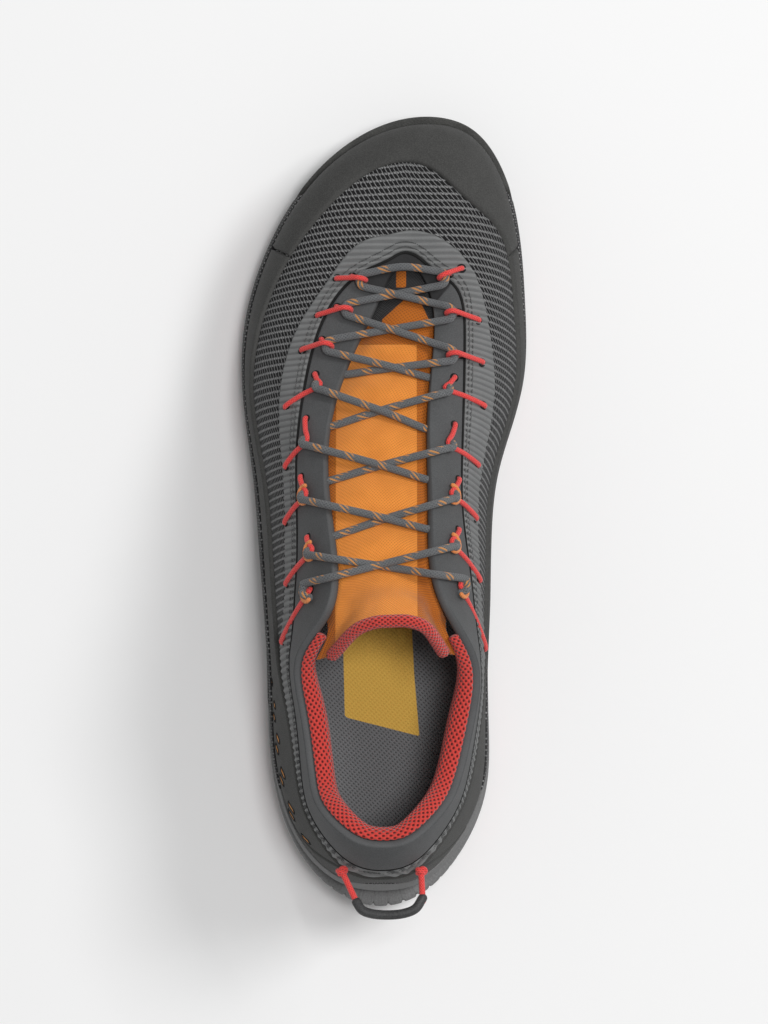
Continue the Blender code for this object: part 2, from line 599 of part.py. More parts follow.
def build_outsole(home, tools):
    """Rubber with its lugs, rising round the toe as a bumper."""
    s = section(AROUND)[:, 0]
    front, behind = ramp(s, *BUMPER_RISES), ramp(s, *SIDE_STEPS_IN)
    under = -STRIPE_THICK / 2 - GAP
    rise = (height("edge", s) - height("stripe", s) - under) * front + under
    thin = toe_inset(AROUND, len(SIDE)) - GAP
    thick = height("stripe", s) + rise - height("base", s)
    flat_in, edge_in, side_in = UNDERSIDE_INSETS
    crest_in, ledge_in, foot_in = RIDGE_INSETS
    rows = [
        level_ring(AROUND, flat_in, "base"),
        level_ring(AROUND, edge_in, "base"),
        level_ring(AROUND, side_in, "base", np.minimum(UNDERSIDE_CHAMFER, thick * 0.4)),
        level_ring(AROUND, 0.0, "stripe", rise - np.minimum(BUMPER_CHAMFER, thick * 0.3)),
        level_ring(AROUND, crest_in, "stripe", rise),
        level_ring(AROUND, ledge_in * (1 - front) + thin * front, "stripe", rise),
        level_ring(AROUND, foot_in * (1 - behind) + (thin + 0.1) * behind, "stripe", under),
        level_ring(AROUND, core_inset(AROUND), "stripe", under),
    ]
    mesh = grid("outsole", rows, closed_round=True, caps=((0, False), (len(rows) - 1, True)))
    made = add_object("outsole", mesh, RUBBER_DARK, home)
    join = made.modifiers.new("Lugs", "BOOLEAN")
    join.operation = "UNION"
    join.object = build_lugs(tools)
    return made


def width_at(s, inward):
    """Outline's outer and inner side at a place along the foot."""
    outer = np.arange(1.0, TOE_STATION, 0.1)
    inner = np.arange(TOE_STATION, STATION_COUNT - 1.0, 0.1)
    plan_outer, _ = outline(outer, inward)
    plan_inner, _ = outline(inner, inward)
    low = np.interp(s, plan_outer[:, 0], plan_outer[:, 1])
    high = np.interp(s, plan_inner[::-1, 0], plan_inner[::-1, 1])
    return low, high


def build_lugs(tools):
    """Blocks under heel and forefoot, with their faces on the ground line."""
    blocks = bmesh.new()
    for _, first, last, count, across, long, wide in TREAD:
        for step in range(count):
            s = first + (last - first) * step / (count - 1)
            low, high = width_at(s, LUG_EDGE_INSET)
            for column in range(across):
                m = low + (high - low) * column / (across - 1)
                made = bmesh.ops.create_cube(blocks, size=1.0)
                for vert in made["verts"]:
                    local = vert.co.copy()
                    at = s + local.x * long
                    side = m + local.y * wide
                    z = height("ground", at) if local.z < 0 else height("base", at) + LUG_EMBED
                    vert.co = place((at, side, float(z)))
    bmesh.ops.recalc_face_normals(blocks, faces=blocks.faces)
    mesh = bpy.data.meshes.new("lug_blocks")
    blocks.to_mesh(mesh)
    blocks.free()
    return add_tool("lug_blocks", mesh, tools)


def build_insole(home):
    """Loose foot bed inside the upper."""
    inset = section(AROUND)[:, 2] + WALL + INSOLE_CLEAR
    low = GAP + 0.1
    rows = [
        level_ring(AROUND, inset + INSOLE_EDGE, "bed", low),
        level_ring(AROUND, inset, "bed", low + INSOLE_EDGE),
        level_ring(AROUND, inset, "bed", INSOLE_THICK - INSOLE_EDGE),
        level_ring(AROUND, inset + INSOLE_EDGE, "bed", INSOLE_THICK),
    ]
    mesh = grid("insole", rows, closed_round=True, caps=((0, False), (3, True)))
    return add_object("insole", mesh, INSOLE_GREY, home)


def build_lining(home):
    """Padded roll inside the collar, from one corner of the throat round the heel to the other."""
    steps = int(LINING_END_STATION * STEPS_PER_STATION)
    stations = np.arange(-steps, steps + 1) / STEPS_PER_STATION
    ones = np.ones_like(stations)
    top = girth(stations, ones)
    up = top - girth(stations, 0.9 * ones)
    tall = np.linalg.norm(up, axis=-1) * 10
    up /= tall[:, None] / 10
    end = ramp(np.abs(stations), LINING_THIN_FROM, LINING_END_STATION)
    full = 1 - (1 - LINING_THIN_END) * end
    rows = []
    for outwards, upwards in LINING_SECTION:
        padding = min(outwards + LINING_DEPTH, 0.0)
        depth = outwards - padding + padding * full
        below = shell(stations, 1 + min(upwards, 0.0) / tall, depth)
        rows.append(below + up * max(upwards, 0.0))
    mesh = grid("collar_lining", rows, closed_round=False, closed_across=True)
    pad = bmesh.new()
    pad.from_mesh(mesh)
    bmesh.ops.holes_fill(pad, edges=[edge for edge in pad.edges if edge.is_boundary], sides=0)
    bmesh.ops.recalc_face_normals(pad, faces=pad.faces)
    pad.to_mesh(mesh)
    pad.free()
    return add_object("collar_lining", mesh, LINING_RED, home)


def build_tongue(home):
    """Padded tongue that follows the upper's inside below the flaps and flares above them."""
    rows = []
    for station, mid_s, mid_z in TONGUE:
        pair = np.array([station, STATION_COUNT - station])
        wings = shell(pair, np.full(2, TONGUE_WING), -THROAT_CLEAR)
        edges = shell(pair, np.ones(2), -THROAT_CLEAR)
        middle = np.array([mid_s, edges[:, 1].mean(), mid_z])
        rows.append([wings[0], *arch(edges[0], middle, edges[1]), wings[1]])
    for middle, outer, inner in TONGUE_TOP:
        outer, middle, inner = np.array(outer), np.array(middle), np.array(inner)
        flank, across = np.array(FLANK_TURN), np.array(FLANK_ACROSS)
        rows.append([outer + flank - across, *arch(outer, middle, inner), inner + flank + across])
    mesh = face_outwards(grid("tongue", [np.array(row) for row in rows], closed_round=False))
    return thicken(add_object("tongue", mesh, TONGUE_ORANGE, home), TONGUE_THICK, outward=False)


def arch(start, middle, end):
    """Points of a shallow arch from one edge over the middle to the other."""
    crown = middle - (start + end) / 2
    return [start + (end - start) * (t + 1) / 2 + crown * (1 - t * t) for t in TONGUE_ACROSS]


def tube(name, points, diameter, sides, finish, home):
    """Capped cord along a path, as a poly curve with a bevel."""
    curve = bpy.data.curves.new(name, "CURVE")
    curve.dimensions = "3D"
    curve.bevel_depth = diameter / 2 * MM
    curve.bevel_resolution = sides
    curve.use_fill_caps = True
    spline = curve.splines.new("POLY")
    spline.points.add(len(points) - 1)
    for point, at in zip(spline.points, place(points)):
        point.co = (*at, 1.0)
    curve.materials.append(material(name, finish))
    made = bpy.data.objects.new(name, curve)
    home.objects.link(made)
    return made


def as_mesh(made, home):
    """Turn a capped curve into a closed mesh object of the same name."""
    bpy.context.view_layer.update()
    graph = bpy.context.evaluated_depsgraph_get()
    mesh = bpy.data.meshes.new_from_object(made.evaluated_get(graph))
    name, finish = made.name, made.data.materials[0]
    closed = bmesh.new()
    closed.from_mesh(mesh)
    bmesh.ops.remove_doubles(closed, verts=closed.verts, dist=0.00001)
    bmesh.ops.recalc_face_normals(closed, faces=closed.faces)
    closed.to_mesh(mesh)
    closed.free()
    matrix = made.matrix_world.copy()
    bpy.data.objects.remove(made)
    mesh.materials.clear()
    mesh.materials.append(finish)
    made = bpy.data.objects.new(name, mesh)
    made.matrix_world = matrix
    home.objects.link(made)
    return made


def loop_place(name, out=0.0):
    """Point on or off the upper under the middle of a lace's turn."""
    *_, station, share = LOOPS[name]
    return shell(np.array(station), np.array(share), out)


def bight(name):
    """Middle of a lace's turn and the directions towards the throat, along the foot and up."""
    side, row = name.split("_")
    across = "inner" if side == "outer" else "outer"
    facing = [f"{across}_{min(max(int(row) + step, 1), ROWS)}" for step in (-1, 1)]
    up = loop_place(name, 1.0) - loop_place(name)
    throat = sum(loop_place(other) for other in facing) / 2 - loop_place(name)
    throat -= up * throat.dot(up)
    throat /= np.linalg.norm(throat)
    heelward = np.cross(up, throat)
    if heelward[0] > 0:
        heelward = -heelward
    lift = OVERLAY_GAP + PANEL_THICK + LOOP_CLEAR + LOOP_D / 2 + RING_R
    return loop_place(name, lift), throat, heelward, up


def turn(name, angles):
    """Points of a lace's turn round its loop, by angle from the side nearest the sole."""
    middle, inwards, heelward, _ = bight(name)
    return [middle - inwards * BIGHT_R * math.cos(math.radians(a))
            + heelward * BIGHT_R * math.sin(math.radians(a)) for a in angles]


def throat_edge(side, s):
    """Point of the throat's edge on one side at a place along the foot."""
    stations = np.arange(6.0, TOE_STATION, 0.1)
    if side == "inner":
        stations = STATION_COUNT - stations
    top = section(stations)[:, 7:10]
    order = np.argsort(top[:, 0])
    return np.array([np.interp(s, top[order, 0], top[order, axis]) for axis in range(3)])


def tongue_middle(s):
    """Height of the tongue's middle at a place along the foot."""
    rows = np.array(sorted(((mid_s, mid_z) for _, mid_s, mid_z in TONGUE)))
    return np.interp(s, rows[:, 0], rows[:, 1])


def strand(start, end, over):
    """Route of one lace strand from its turn over the tongue to the next turn across."""
    leave, arrive = turn(start, (90,))[0], turn(end, (-90,))[0]
    middle = (leave + arrive) / 2
    middle[2] = tongue_middle(middle[0]) + GAP + LACE_D * (CROSSING_HIGH if over else CROSSING_LOW)
    route = []
    for name, near in ((start, leave), (end, arrive)):
        rim = throat_edge(name.split("_")[0], (near[0] + middle[0]) / 2)
        share = np.clip((rim[1] - near[1]) / (middle[1] - near[1]), *RIM_SHARES)
        over_rim = near + (middle - near) * share
        over_rim[2] = rim[2] + OVERLAY_GAP + PANEL_THICK + LACE_D / 2 + RIM_HOP
        route.append(over_rim)
    return [leave, route[0], middle, route[1], arrive]


def lace_half(first_side):
    """One end of the lace, from the first row's bar to the last row of loops."""
    other = {"outer": "inner", "inner": "outer"}
    side = first_side
    bar = (bight("outer_1")[0] + bight("inner_1")[0]) / 2 + np.array(BAR_BOW)
    route = [bar] + turn(f"{first_side}_1", (-90, -45, 0, 45))
    for row in range(1, ROWS):
        start, end = f"{side}_{row}", f"{other[side]}_{row + 1}"
        over = (side == "outer") == (row < ROWS - 1)
        route += strand(start, end, over)
        if row < ROWS - 1:
            route += turn(end, (-45, 0, 45))
        side = other[side]
    return route


def build_lace(home, tools):
    """Both ends of the lace, crossing over the tongue, joined where they touch."""
    halves = []
    for name, side in (("lace", "outer"), ("lace_other_end", "inner")):
        path = np.array(lace_half(side))
        halves.append(as_mesh(tube(name, path, LACE_D, LACE_SIDES, LACE_GREY, home), home))
    made, other = halves
    home.objects.unlink(other)
    tools.objects.link(other)
    other.hide_render = True
    other.display_type = "WIRE"
    join = made.modifiers.new("Crossings", "BOOLEAN")
    join.operation = "UNION"
    join.object = other
    return made


def build_loops(home):
    """Red cord loops that hold the lace along both sides of the throat."""
    clear = OVERLAY_GAP + PANEL_THICK + LOOP_CLEAR + LOOP_D / 2
    for name, (outer_u, outer_w, inner_u, inner_w, _, _) in LOOPS.items():
        middle, inwards, _, up = bight(name)
        lace = middle - inwards * BIGHT_R
        start = shell(np.array(outer_u), np.array(outer_w), clear)
        end = shell(np.array(inner_u), np.array(inner_w), clear)
        ring = [lace + (up * math.cos(math.radians(a)) + inwards * math.sin(math.radians(a))) * RING_R
                for a in RING_ANGLES]
        route = [start, *ring, end]
        tube(f"loop_{name}", np.array(route), LOOP_D, LACE_SIDES, SIGNAL_RED, home)


def build_pull_loop(home):
    """Cord loop with a sleeve behind the heel, held by a knot on both sides."""
    station, share = PULL_KNOT_AT
    out = OVERLAY_GAP + BAND_THICK + GAP + KNOT_D / 2
    for side, sign in (("outer", 1), ("inner", -1)):
        knot_at = shell(np.array(station * sign), np.array(share), out)
        mesh = bpy.data.meshes.new(f"pull_knot_{side}")
        knot = bmesh.new()
        bmesh.ops.create_uvsphere(knot, u_segments=8, v_segments=6, radius=KNOT_D / 2 * MM)
        knot.to_mesh(mesh)
        knot.free()
        made = add_object(f"pull_knot_{side}", mesh, SIGNAL_RED, home)
        made.location = place(knot_at)
        sleeve_at = np.array(PULL_SLEEVE[0]) * [1, -sign, 1]
        along = (sleeve_at - knot_at) / np.linalg.norm(sleeve_at - knot_at)
        leg = [knot_at + along * (KNOT_D / 2 + GAP), sleeve_at - along * 2 * GAP]
        tube(f"pull_cord_{side}", np.array(leg), PULL_CORD_D, LACE_SIDES, SIGNAL_RED, home)
    half = np.array(PULL_SLEEVE)
    path = np.concatenate([half * [1, -1, 1], half[-2::-1]])
    tube("pull_sleeve", path, PULL_SLEEVE_D, LACE_SIDES, RUBBER_DARK, home)


def main():
    """Build every piece of the shoe in its place."""
    for old in list(bpy.data.objects):
        bpy.data.objects.remove(old)
    home = bpy.data.collections.new("approach_shoe")
    tools = bpy.data.collections.new("cutters")
    bpy.context.scene.collection.children.link(home)
    bpy.context.scene.collection.children.link(tools)
    build_outsole(home, tools)
    build_stripe(home)
    build_midsole(home, tools)
    build_insole(home)
    build_upper(home)
    build_overlays(home)
    build_lining(home)
    build_tongue(home)
    build_lace(home, tools)
    build_loops(home)
    build_pull_loop(home)


main()
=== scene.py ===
"""Looks of a left approach shoe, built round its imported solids.

Shapes are worked out in the shoe's own axes, in millimetres: s runs along the foot from the heel to
the toe, m runs across it towards the inner side of the foot, and z runs up from the floor. A station
counts the sections of the last, round the foot from the heel by the outer side to the toe and back,
and a share is how far up the upper's wall a point lies.
"""

from __future__ import annotations

import logging
import math
from collections.abc import Callable, Sequence
from dataclasses import dataclass, field
from enum import Enum

import bmesh
import bpy
import numpy as np
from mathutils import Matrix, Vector


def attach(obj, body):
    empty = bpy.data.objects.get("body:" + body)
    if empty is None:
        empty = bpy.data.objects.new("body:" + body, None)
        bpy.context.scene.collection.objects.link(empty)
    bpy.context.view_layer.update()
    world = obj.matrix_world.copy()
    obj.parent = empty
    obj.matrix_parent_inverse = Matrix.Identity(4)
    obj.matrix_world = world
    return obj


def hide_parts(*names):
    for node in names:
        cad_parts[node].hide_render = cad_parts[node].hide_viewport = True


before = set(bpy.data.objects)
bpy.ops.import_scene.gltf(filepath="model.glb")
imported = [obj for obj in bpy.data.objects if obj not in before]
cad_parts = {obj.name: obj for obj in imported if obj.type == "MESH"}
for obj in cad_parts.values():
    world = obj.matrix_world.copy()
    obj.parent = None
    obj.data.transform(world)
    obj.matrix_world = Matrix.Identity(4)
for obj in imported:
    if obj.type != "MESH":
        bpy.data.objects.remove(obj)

LOG = logging.getLogger("approach_shoe")
MM = 0.001
MIDDLE_S, MIDDLE_M = 144.55, 0.2
CLOTH = "cloth_mm"
EDGE = "edge_mm"
ZONE = "zone_mm"
RIB = "rib_level"
CUT = "cut_mm"
ORANGE = "orange_mm"
HEART = (140.0, 0.0, 20.0)
UP = (0.0, 0.0, 1.0)
DOWN = (0.0, 0.0, -1.0)


class Side(Enum):
    """The two sides of the foot."""

    OUTER = "outer"
    INNER = "inner"

    @property
    def other(self) -> Side:
        """The side across the throat."""
        return Side.INNER if self is Side.OUTER else Side.OUTER


def place(points: np.ndarray) -> np.ndarray:
    """Turn shoe coordinates in millimetres into the frame's metres.

    Args:
        points: Points as s, m and z in the last axis.

    Returns:
        The same points with the toe to -Y and the outer side to +X.
    """
    points = np.asarray(points, float)
    x, y = MIDDLE_M - points[..., 1], MIDDLE_S - points[..., 0]
    return np.stack([x, y, points[..., 2]], axis=-1) * MM


def ramp(value: np.ndarray | float, low: float, high: float) -> np.ndarray:
    """Step smoothly from 0 to 1.

    Args:
        value: Where the step is read.
        low: Value at which it is still 0.
        high: Value at which it has reached 1.

    Returns:
        The step's height at each value.
    """
    t = np.clip((np.asarray(value, float) - low) / (high - low), 0, 1)
    return t * t * (3 - 2 * t)


def bend(a: np.ndarray, b: np.ndarray, c: np.ndarray, d: np.ndarray, t: np.ndarray | float) -> np.ndarray:
    """Points of a smooth curve from b to c, which a and d lead into and out of."""
    square, cube = 2 * a - 5 * b + 4 * c - d, 3 * b - a - 3 * c + d
    return 0.5 * (2 * b + (c - a) * t + square * t ** 2 + cube * t ** 3)


def distances(points: np.ndarray) -> np.ndarray:
    """Distance from the first point along a line."""
    return np.concatenate([[0], np.cumsum(np.linalg.norm(np.diff(points, axis=0), axis=1))])


def steady(value: float) -> Callable:
    """An edge of an overlay that stays at one station all the way up."""
    return lambda share: value + 0 * np.asarray(share, float)


def stand(name: str, data: bpy.types.ID) -> bpy.types.Object:
    """Put new data into the scene as an object."""
    made = bpy.data.objects.new(name, data)
    bpy.context.scene.collection.objects.link(made)
    return made


def path_between(points: Sequence[Sequence[float]], step: float) -> np.ndarray:
    """Run a smooth curve through control points.

    Args:
        points: The control points.
        step: Distance between the points given back.

    Returns:
        Evenly spaced points on the curve.
    """
    knots = np.asarray(points, float)
    padded = np.concatenate([[2 * knots[0] - knots[1]], knots, [2 * knots[-1] - knots[-2]]])
    spans = []
    for a, b, c, d in zip(padded, padded[1:], padded[2:], padded[3:]):
        spans.append(bend(a, b, c, d, np.linspace(0, 1, 24, endpoint=False)[:, None]))
    curve = np.concatenate([*spans, knots[-1:]])
    run = distances(curve)
    even = np.linspace(0, run[-1], max(int(run[-1] / step), 4))
    return np.stack([np.interp(even, run, curve[:, axis]) for axis in range(3)], axis=-1)


def inside_polygon(s: np.ndarray, m: np.ndarray, corners: Sequence[tuple[float, float]]) -> np.ndarray:
    """Measure how deep points lie inside an outline.

    Args:
        s: Places along the foot.
        m: Places across it.
        corners: The outline's corners as (s, m), in order.

    Returns:
        Distance to the outline, above zero inside it.
    """
    nearest = np.full(s.shape, 1e9)
    inside = np.zeros(s.shape, bool)
    for (s0, m0), (s1, m1) in zip(corners, [*corners[1:], corners[0]]):
        ds, dm = s1 - s0, m1 - m0
        t = np.clip(((s - s0) * ds + (m - m0) * dm) / (ds * ds + dm * dm), 0, 1)
        nearest = np.minimum(nearest, np.hypot(s - s0 - t * ds, m - m0 - t * dm))
        crosses = (m0 > m) != (m1 > m)
        inside ^= crosses & (s < ds * (m - m0) / (dm if abs(dm) > 1e-9 else 1e-9) + s0)
    return np.where(inside, nearest, -nearest)


@dataclass
class Last:
    """The foot form: plan of the sole, side profile and the wall of the upper."""

    columns: tuple[str, ...] = (
        "sole_s", "sole_m", "inset", "rise", "flare", "spread", "drop",
        "top_s", "top_m", "top_z", "rand", "band", "panel",
    )
    stations: tuple[tuple[float, ...], ...] = (
        (0.0, -1.0, 12.5, 32, 3.0, 13.0, 13, 26.5, 0.0, 104.5, 0.56, 0.575, 0.72),
        (4.6, -16.5, 9.0, 31, 2.5, 12.0, 14, 28.5, -10.0, 104.0, 0.58, 0.595, 0.735),
        (17.0, -29.5, 5.8, 28, 1.5, 8.0, 18, 37.0, -20.3, 99.0, 0.65, 0.665, 0.76),
        (42.0, -39.8, 4.2, 24, 1.5, 5.0, 20, 51.0, -25.6, 91.3, 0.69, 0.705, 0.81),
        (68.0, -42.6, 3.8, 22, 1.8, 3.5, 20, 74.0, -28.8, 91.0, 0.64, 0.655, 0.84),
        (92.0, -43.1, 3.8, 24, 2.5, 5.5, 20, 94.0, -29.6, 98.0, 0.505, 0.60, 0.83),
        (112.0, -44.3, 4.0, 26, 3.8, 14.5, 20, 108.5, -20.5, 107.8, 0.415, 0.60, 0.725),
        (130.0, -45.8, 4.0, 26, 3.5, 17.5, 18, 122.5, -17.4, 106.2, 0.375, 0.59, 0.715),
        (157.0, -48.2, 4.0, 24, 4.0, 15.5, 14, 149.0, -20.2, 92.0, 0.355, 0.63, 0.755),
        (190.0, -52.3, 3.8, 24.5, 5.0, 19.5, 10, 180.0, -19.0, 76.0, 0.32, 0.64, 0.81),
        (214.0, -51.4, 3.8, 23, 4.0, 22.5, 7, 201.0, -12.0, 65.5, 0.34, 0.65, 0.79),
        (239.0, -44.2, 3.8, 26, 3.5, 27.0, 5, 217.5, -4.0, 59.0, 0.41, 0.73, 0.82),
        (262.0, -31.5, 4.0, 28, 3.0, 33.0, 3, 229.0, 1.0, 56.3, 0.53, 0.81, 0.93),
        (280.5, -12.5, 4.5, 28, 3.0, 36.0, 3, 234.0, 5.0, 55.5, 0.55, 0.88, 0.965),
        (289.8, 13.0, 5.0, 28, 3.0, 39.0, 4, 235.0, 8.5, 55.5, 0.58, 0.89, 0.965),
        (285.8, 32.0, 4.5, 29, 3.0, 37.0, 2, 233.0, 12.5, 55.8, 0.63, 0.87, 0.965),
        (270.0, 44.2, 4.0, 28, 3.5, 31.0, 1, 226.0, 16.5, 57.0, 0.56, 0.80, 0.93),
        (248.0, 50.2, 3.8, 26, 4.5, 26.0, 3, 215.0, 18.8, 60.5, 0.38, 0.70, 0.83),
        (221.0, 52.5, 3.8, 26, 6.0, 22.0, 6, 199.0, 18.0, 68.0, 0.32, 0.61, 0.79),
        (192.0, 51.6, 4.0, 24, 8.5, 22.0, 11, 176.0, 16.4, 80.0, 0.32, 0.57, 0.79),
        (160.0, 42.3, 3.8, 26, 8.0, 17.5, 15, 146.0, 17.0, 95.0, 0.355, 0.57, 0.755),
        (132.0, 39.0, 3.8, 28, 7.5, 17.0, 18, 124.0, 18.0, 106.0, 0.375, 0.58, 0.715),
        (111.0, 38.6, 3.8, 28, 6.0, 11.5, 20, 109.0, 23.5, 108.3, 0.415, 0.59, 0.725),
        (89.0, 38.4, 3.8, 24, 3.5, 4.0, 20, 92.0, 32.2, 97.8, 0.505, 0.60, 0.83),
        (66.0, 38.9, 3.8, 22, 2.2, 3.0, 20, 72.5, 31.8, 91.5, 0.64, 0.655, 0.84),
        (42.0, 37.9, 4.2, 24, 1.5, 4.5, 20, 51.0, 27.0, 92.0, 0.69, 0.705, 0.81),
        (18.0, 27.6, 6.0, 28, 1.5, 8.0, 18, 37.0, 19.5, 99.5, 0.65, 0.665, 0.76),
        (4.8, 14.6, 9.0, 31, 2.5, 12.0, 14, 28.5, 9.5, 104.1, 0.58, 0.595, 0.735),
    )
    profile_columns: tuple[str, ...] = ("s", "ground", "base", "stripe", "edge", "bed")
    profile: tuple[tuple[float, ...], ...] = (
        (0, 13.0, 13.5, 17.4, 54.0, 27.0),
        (6, 8.5, 9.8, 14.4, 50.0, 27.0),
        (16, 5.2, 6.6, 10.6, 43.5, 27.0),
        (27, 1.6, 4.4, 8.4, 40.5, 27.0),
        (36, 0.0, 3.6, 7.7, 38.8, 27.0),
        (60, 0.0, 3.6, 7.7, 37.6, 27.0),
        (80, 0.0, 3.6, 8.4, 39.2, 26.0),
        (90, 0.0, 3.8, 12.0, 39.8, 25.4),
        (100, 0.0, 4.4, 17.4, 40.0, 25.0),
        (110, 2.0, 11.0, 19.6, 39.8, 24.6),
        (120, 10.0, 12.0, 18.6, 37.6, 23.8),
        (145, 8.0, 9.0, 13.0, 31.0, 20.8),
        (165, 0.0, 4.4, 8.7, 25.4, 18.4),
        (190, 0.0, 3.4, 6.8, 22.2, 16.8),
        (212, 0.0, 3.4, 7.4, 21.6, 16.4),
        (232, 1.4, 3.8, 10.3, 21.0, 17.0),
        (248, 3.6, 4.4, 12.6, 21.6, 18.4),
        (264, 7.6, 7.8, 14.6, 23.2, 20.4),
        (278, 13.0, 13.2, 18.6, 26.5, 22.8),
        (290, 20.0, 20.2, 23.6, 30.0, 25.6),
    )
    toe_station: float = 14.0

    def __post_init__(self) -> None:
        """Solve the closed spline through the sections."""
        self.table = np.array(self.stations, float)
        self.count = len(self.table)
        ahead = np.roll(self.table, -1, axis=0) - self.table
        self.chords = np.linalg.norm(ahead[:, :2], axis=1)
        before = np.roll(self.chords, 1)
        system = np.zeros((self.count, self.count))
        for row in range(self.count):
            system[row, row - 1] += before[row]
            system[row, row] += 2 * (before[row] + self.chords[row])
            system[row, (row + 1) % self.count] += self.chords[row]
        ahead = ahead / self.chords[:, None]
        behind = (self.table - np.roll(self.table, 1, axis=0)) / before[:, None]
        self.slopes = np.linalg.solve(system, 6 * (ahead - behind))
        self.heights = np.array(self.profile, float)
        fine = np.linspace(0, self.count, 4001)
        self.fine, self.run = fine, distances(self.section(fine)[:, :2])

    def section(self, station: np.ndarray | float) -> np.ndarray:
        """Read every column of the section table.

        Args:
            station: One or more stations.

        Returns:
            The table's columns in the last axis.
        """
        station = np.mod(np.asarray(station, float), self.count)
        here = np.minimum(np.floor(station).astype(int), self.count - 1)
        after = (here + 1) % self.count
        span = self.chords[here][..., None]
        b = (station - here)[..., None]
        a = 1 - b
        bend = (a ** 3 - a) * self.slopes[here] + (b ** 3 - b) * self.slopes[after]
        return a * self.table[here] + b * self.table[after] + bend * span ** 2 / 6

    def along(self, station: np.ndarray) -> np.ndarray:
        """Distance round the sole's outline, in millimetres."""
        turns = np.floor(np.asarray(station, float) / self.count)
        return turns * self.run[-1] + np.interp(station - turns * self.count, self.fine, self.run)

    def stations_at(self, run: np.ndarray) -> np.ndarray:
        """Stations at distances round the outline, which start up to one turn before the heel."""
        fine = np.concatenate([self.fine - self.count, self.fine[1:]])
        table = np.concatenate([self.run - self.run[-1], self.run[1:]])
        return np.interp(run, table, fine)

    def even_stations(self, first: float, last: float, step: float) -> np.ndarray:
        """Space stations evenly round the outline.

        Args:
            first: Station at one end.
            last: Station at the other end.
            step: Distance from one to the next, in millimetres.

        Returns:
            The stations, both ends included.
        """
        ends = self.along(np.array([first, last]))
        return self.stations_at(np.linspace(ends[0], ends[1], max(int((ends[1] - ends[0]) / step), 4)))

    def height(self, column: str, s: np.ndarray | float) -> np.ndarray:
        """Read one of the side profile's heights.

        Args:
            column: Name of the height.
            s: Places along the foot.

        Returns:
            The height there, without overshoot between the table's rows.
        """
        xs, ys = self.heights[:, 0], self.heights[:, self.profile_columns.index(column)]
        s = np.clip(s, xs[0], xs[-1])
        step = np.diff(xs)
        rise = np.diff(ys) / step
        slope = np.concatenate([[rise[0]], np.zeros(len(xs) - 2), [rise[-1]]])
        for row in range(1, len(xs) - 1):
            if rise[row - 1] * rise[row] > 0:
                near, far = 2 * step[row] + step[row - 1], step[row] + 2 * step[row - 1]
                slope[row] = (near + far) / (near / rise[row - 1] + far / rise[row])
        k = np.clip(np.searchsorted(xs, s, side="right") - 1, 0, len(xs) - 2)
        t = (s - xs[k]) / step[k]
        start = (2 * t ** 3 - 3 * t ** 2 + 1) * ys[k] + (t ** 3 - 2 * t ** 2 + t) * step[k] * slope[k]
        return start + (3 * t ** 2 - 2 * t ** 3) * ys[k + 1] + (t ** 3 - t ** 2) * step[k] * slope[k + 1]

    def outline(self, station: np.ndarray, inward: np.ndarray | float = 0.0) -> tuple[np.ndarray, np.ndarray]:
        """Follow the sole's outline in plan.

        Args:
            station: Stations to read.
            inward: How far inside the outline the points lie.

        Returns:
            The points, and the outward direction at each.
        """
        station, step = np.asarray(station, float), 0.02
        along = self.section(station + step)[..., :2] - self.section(station - step)[..., :2]
        along /= np.linalg.norm(along, axis=-1, keepdims=True)
        outward = np.stack([along[..., 1], -along[..., 0]], axis=-1)
        return self.section(station)[..., :2] - outward * np.asarray(inward)[..., None], outward

    def girth(self, station: np.ndarray, share: np.ndarray) -> np.ndarray:
        """Follow the outside of the upper.

        Args:
            station: Stations to read.
            share: Shares of the way from the sole to the top line.

        Returns:
            Points on the wall.
        """
        station, share = np.broadcast_arrays(np.asarray(station, float), np.asarray(share, float))
        row = self.section(station)
        base, outward = self.outline(station, row[..., 2])
        foot = np.concatenate([base, self.height("bed", base[..., 0])[..., None] + 0.5], axis=-1)
        top = row[..., 7:10]
        away = base - top[..., :2]
        away /= np.linalg.norm(away, axis=-1, keepdims=True)
        low = foot + np.concatenate([outward * row[..., 4:5], row[..., 3:4]], axis=-1)
        high = top + np.concatenate([away * row[..., 5:6], -row[..., 6:7]], axis=-1)
        w = share[..., None]
        near = (1 - w) ** 3 * foot + 3 * w * (1 - w) ** 2 * low
        return near + 3 * w ** 2 * (1 - w) * high + w ** 3 * top

    def away(self, station: np.ndarray, share: np.ndarray) -> np.ndarray:
        """Direction that leaves the upper's wall at right angles."""
        station, share = np.broadcast_arrays(np.asarray(station, float), np.asarray(share, float))
        step = 0.01
        along = self.girth(station + step, share) - self.girth(station - step, share)
        above, below = np.minimum(share + step, 1), np.maximum(share - step, 0)
        normal = np.cross(along, self.girth(station, above) - self.girth(station, below))
        return normal / np.linalg.norm(normal, axis=-1, keepdims=True)

    def shell(self, station: np.ndarray, share: np.ndarray, out: np.ndarray | float = 0.0) -> np.ndarray:
        """Find points off the upper's wall.

        Args:
            station: Stations to read.
            share: Shares of the wall's height.
            out: Distance off the wall, in millimetres.

        Returns:
            The points.
        """
        return self.girth(station, share) + self.away(station, share) * np.asarray(out)[..., None]

    def edge_share(self, station: np.ndarray) -> np.ndarray:
        """Share of the upper's height that the midsole's edge covers."""
        station = np.asarray(station, float)
        low, high = np.zeros_like(station), np.full_like(station, 0.6)
        for _ in range(24):
            middle = (low + high) / 2
            below = self.girth(station, middle)[..., 2] < self.height("edge", self.section(station)[..., 0])
            low, high = np.where(below, middle, low), np.where(below, high, middle)
        return np.maximum((low + high) / 2, 0.04)

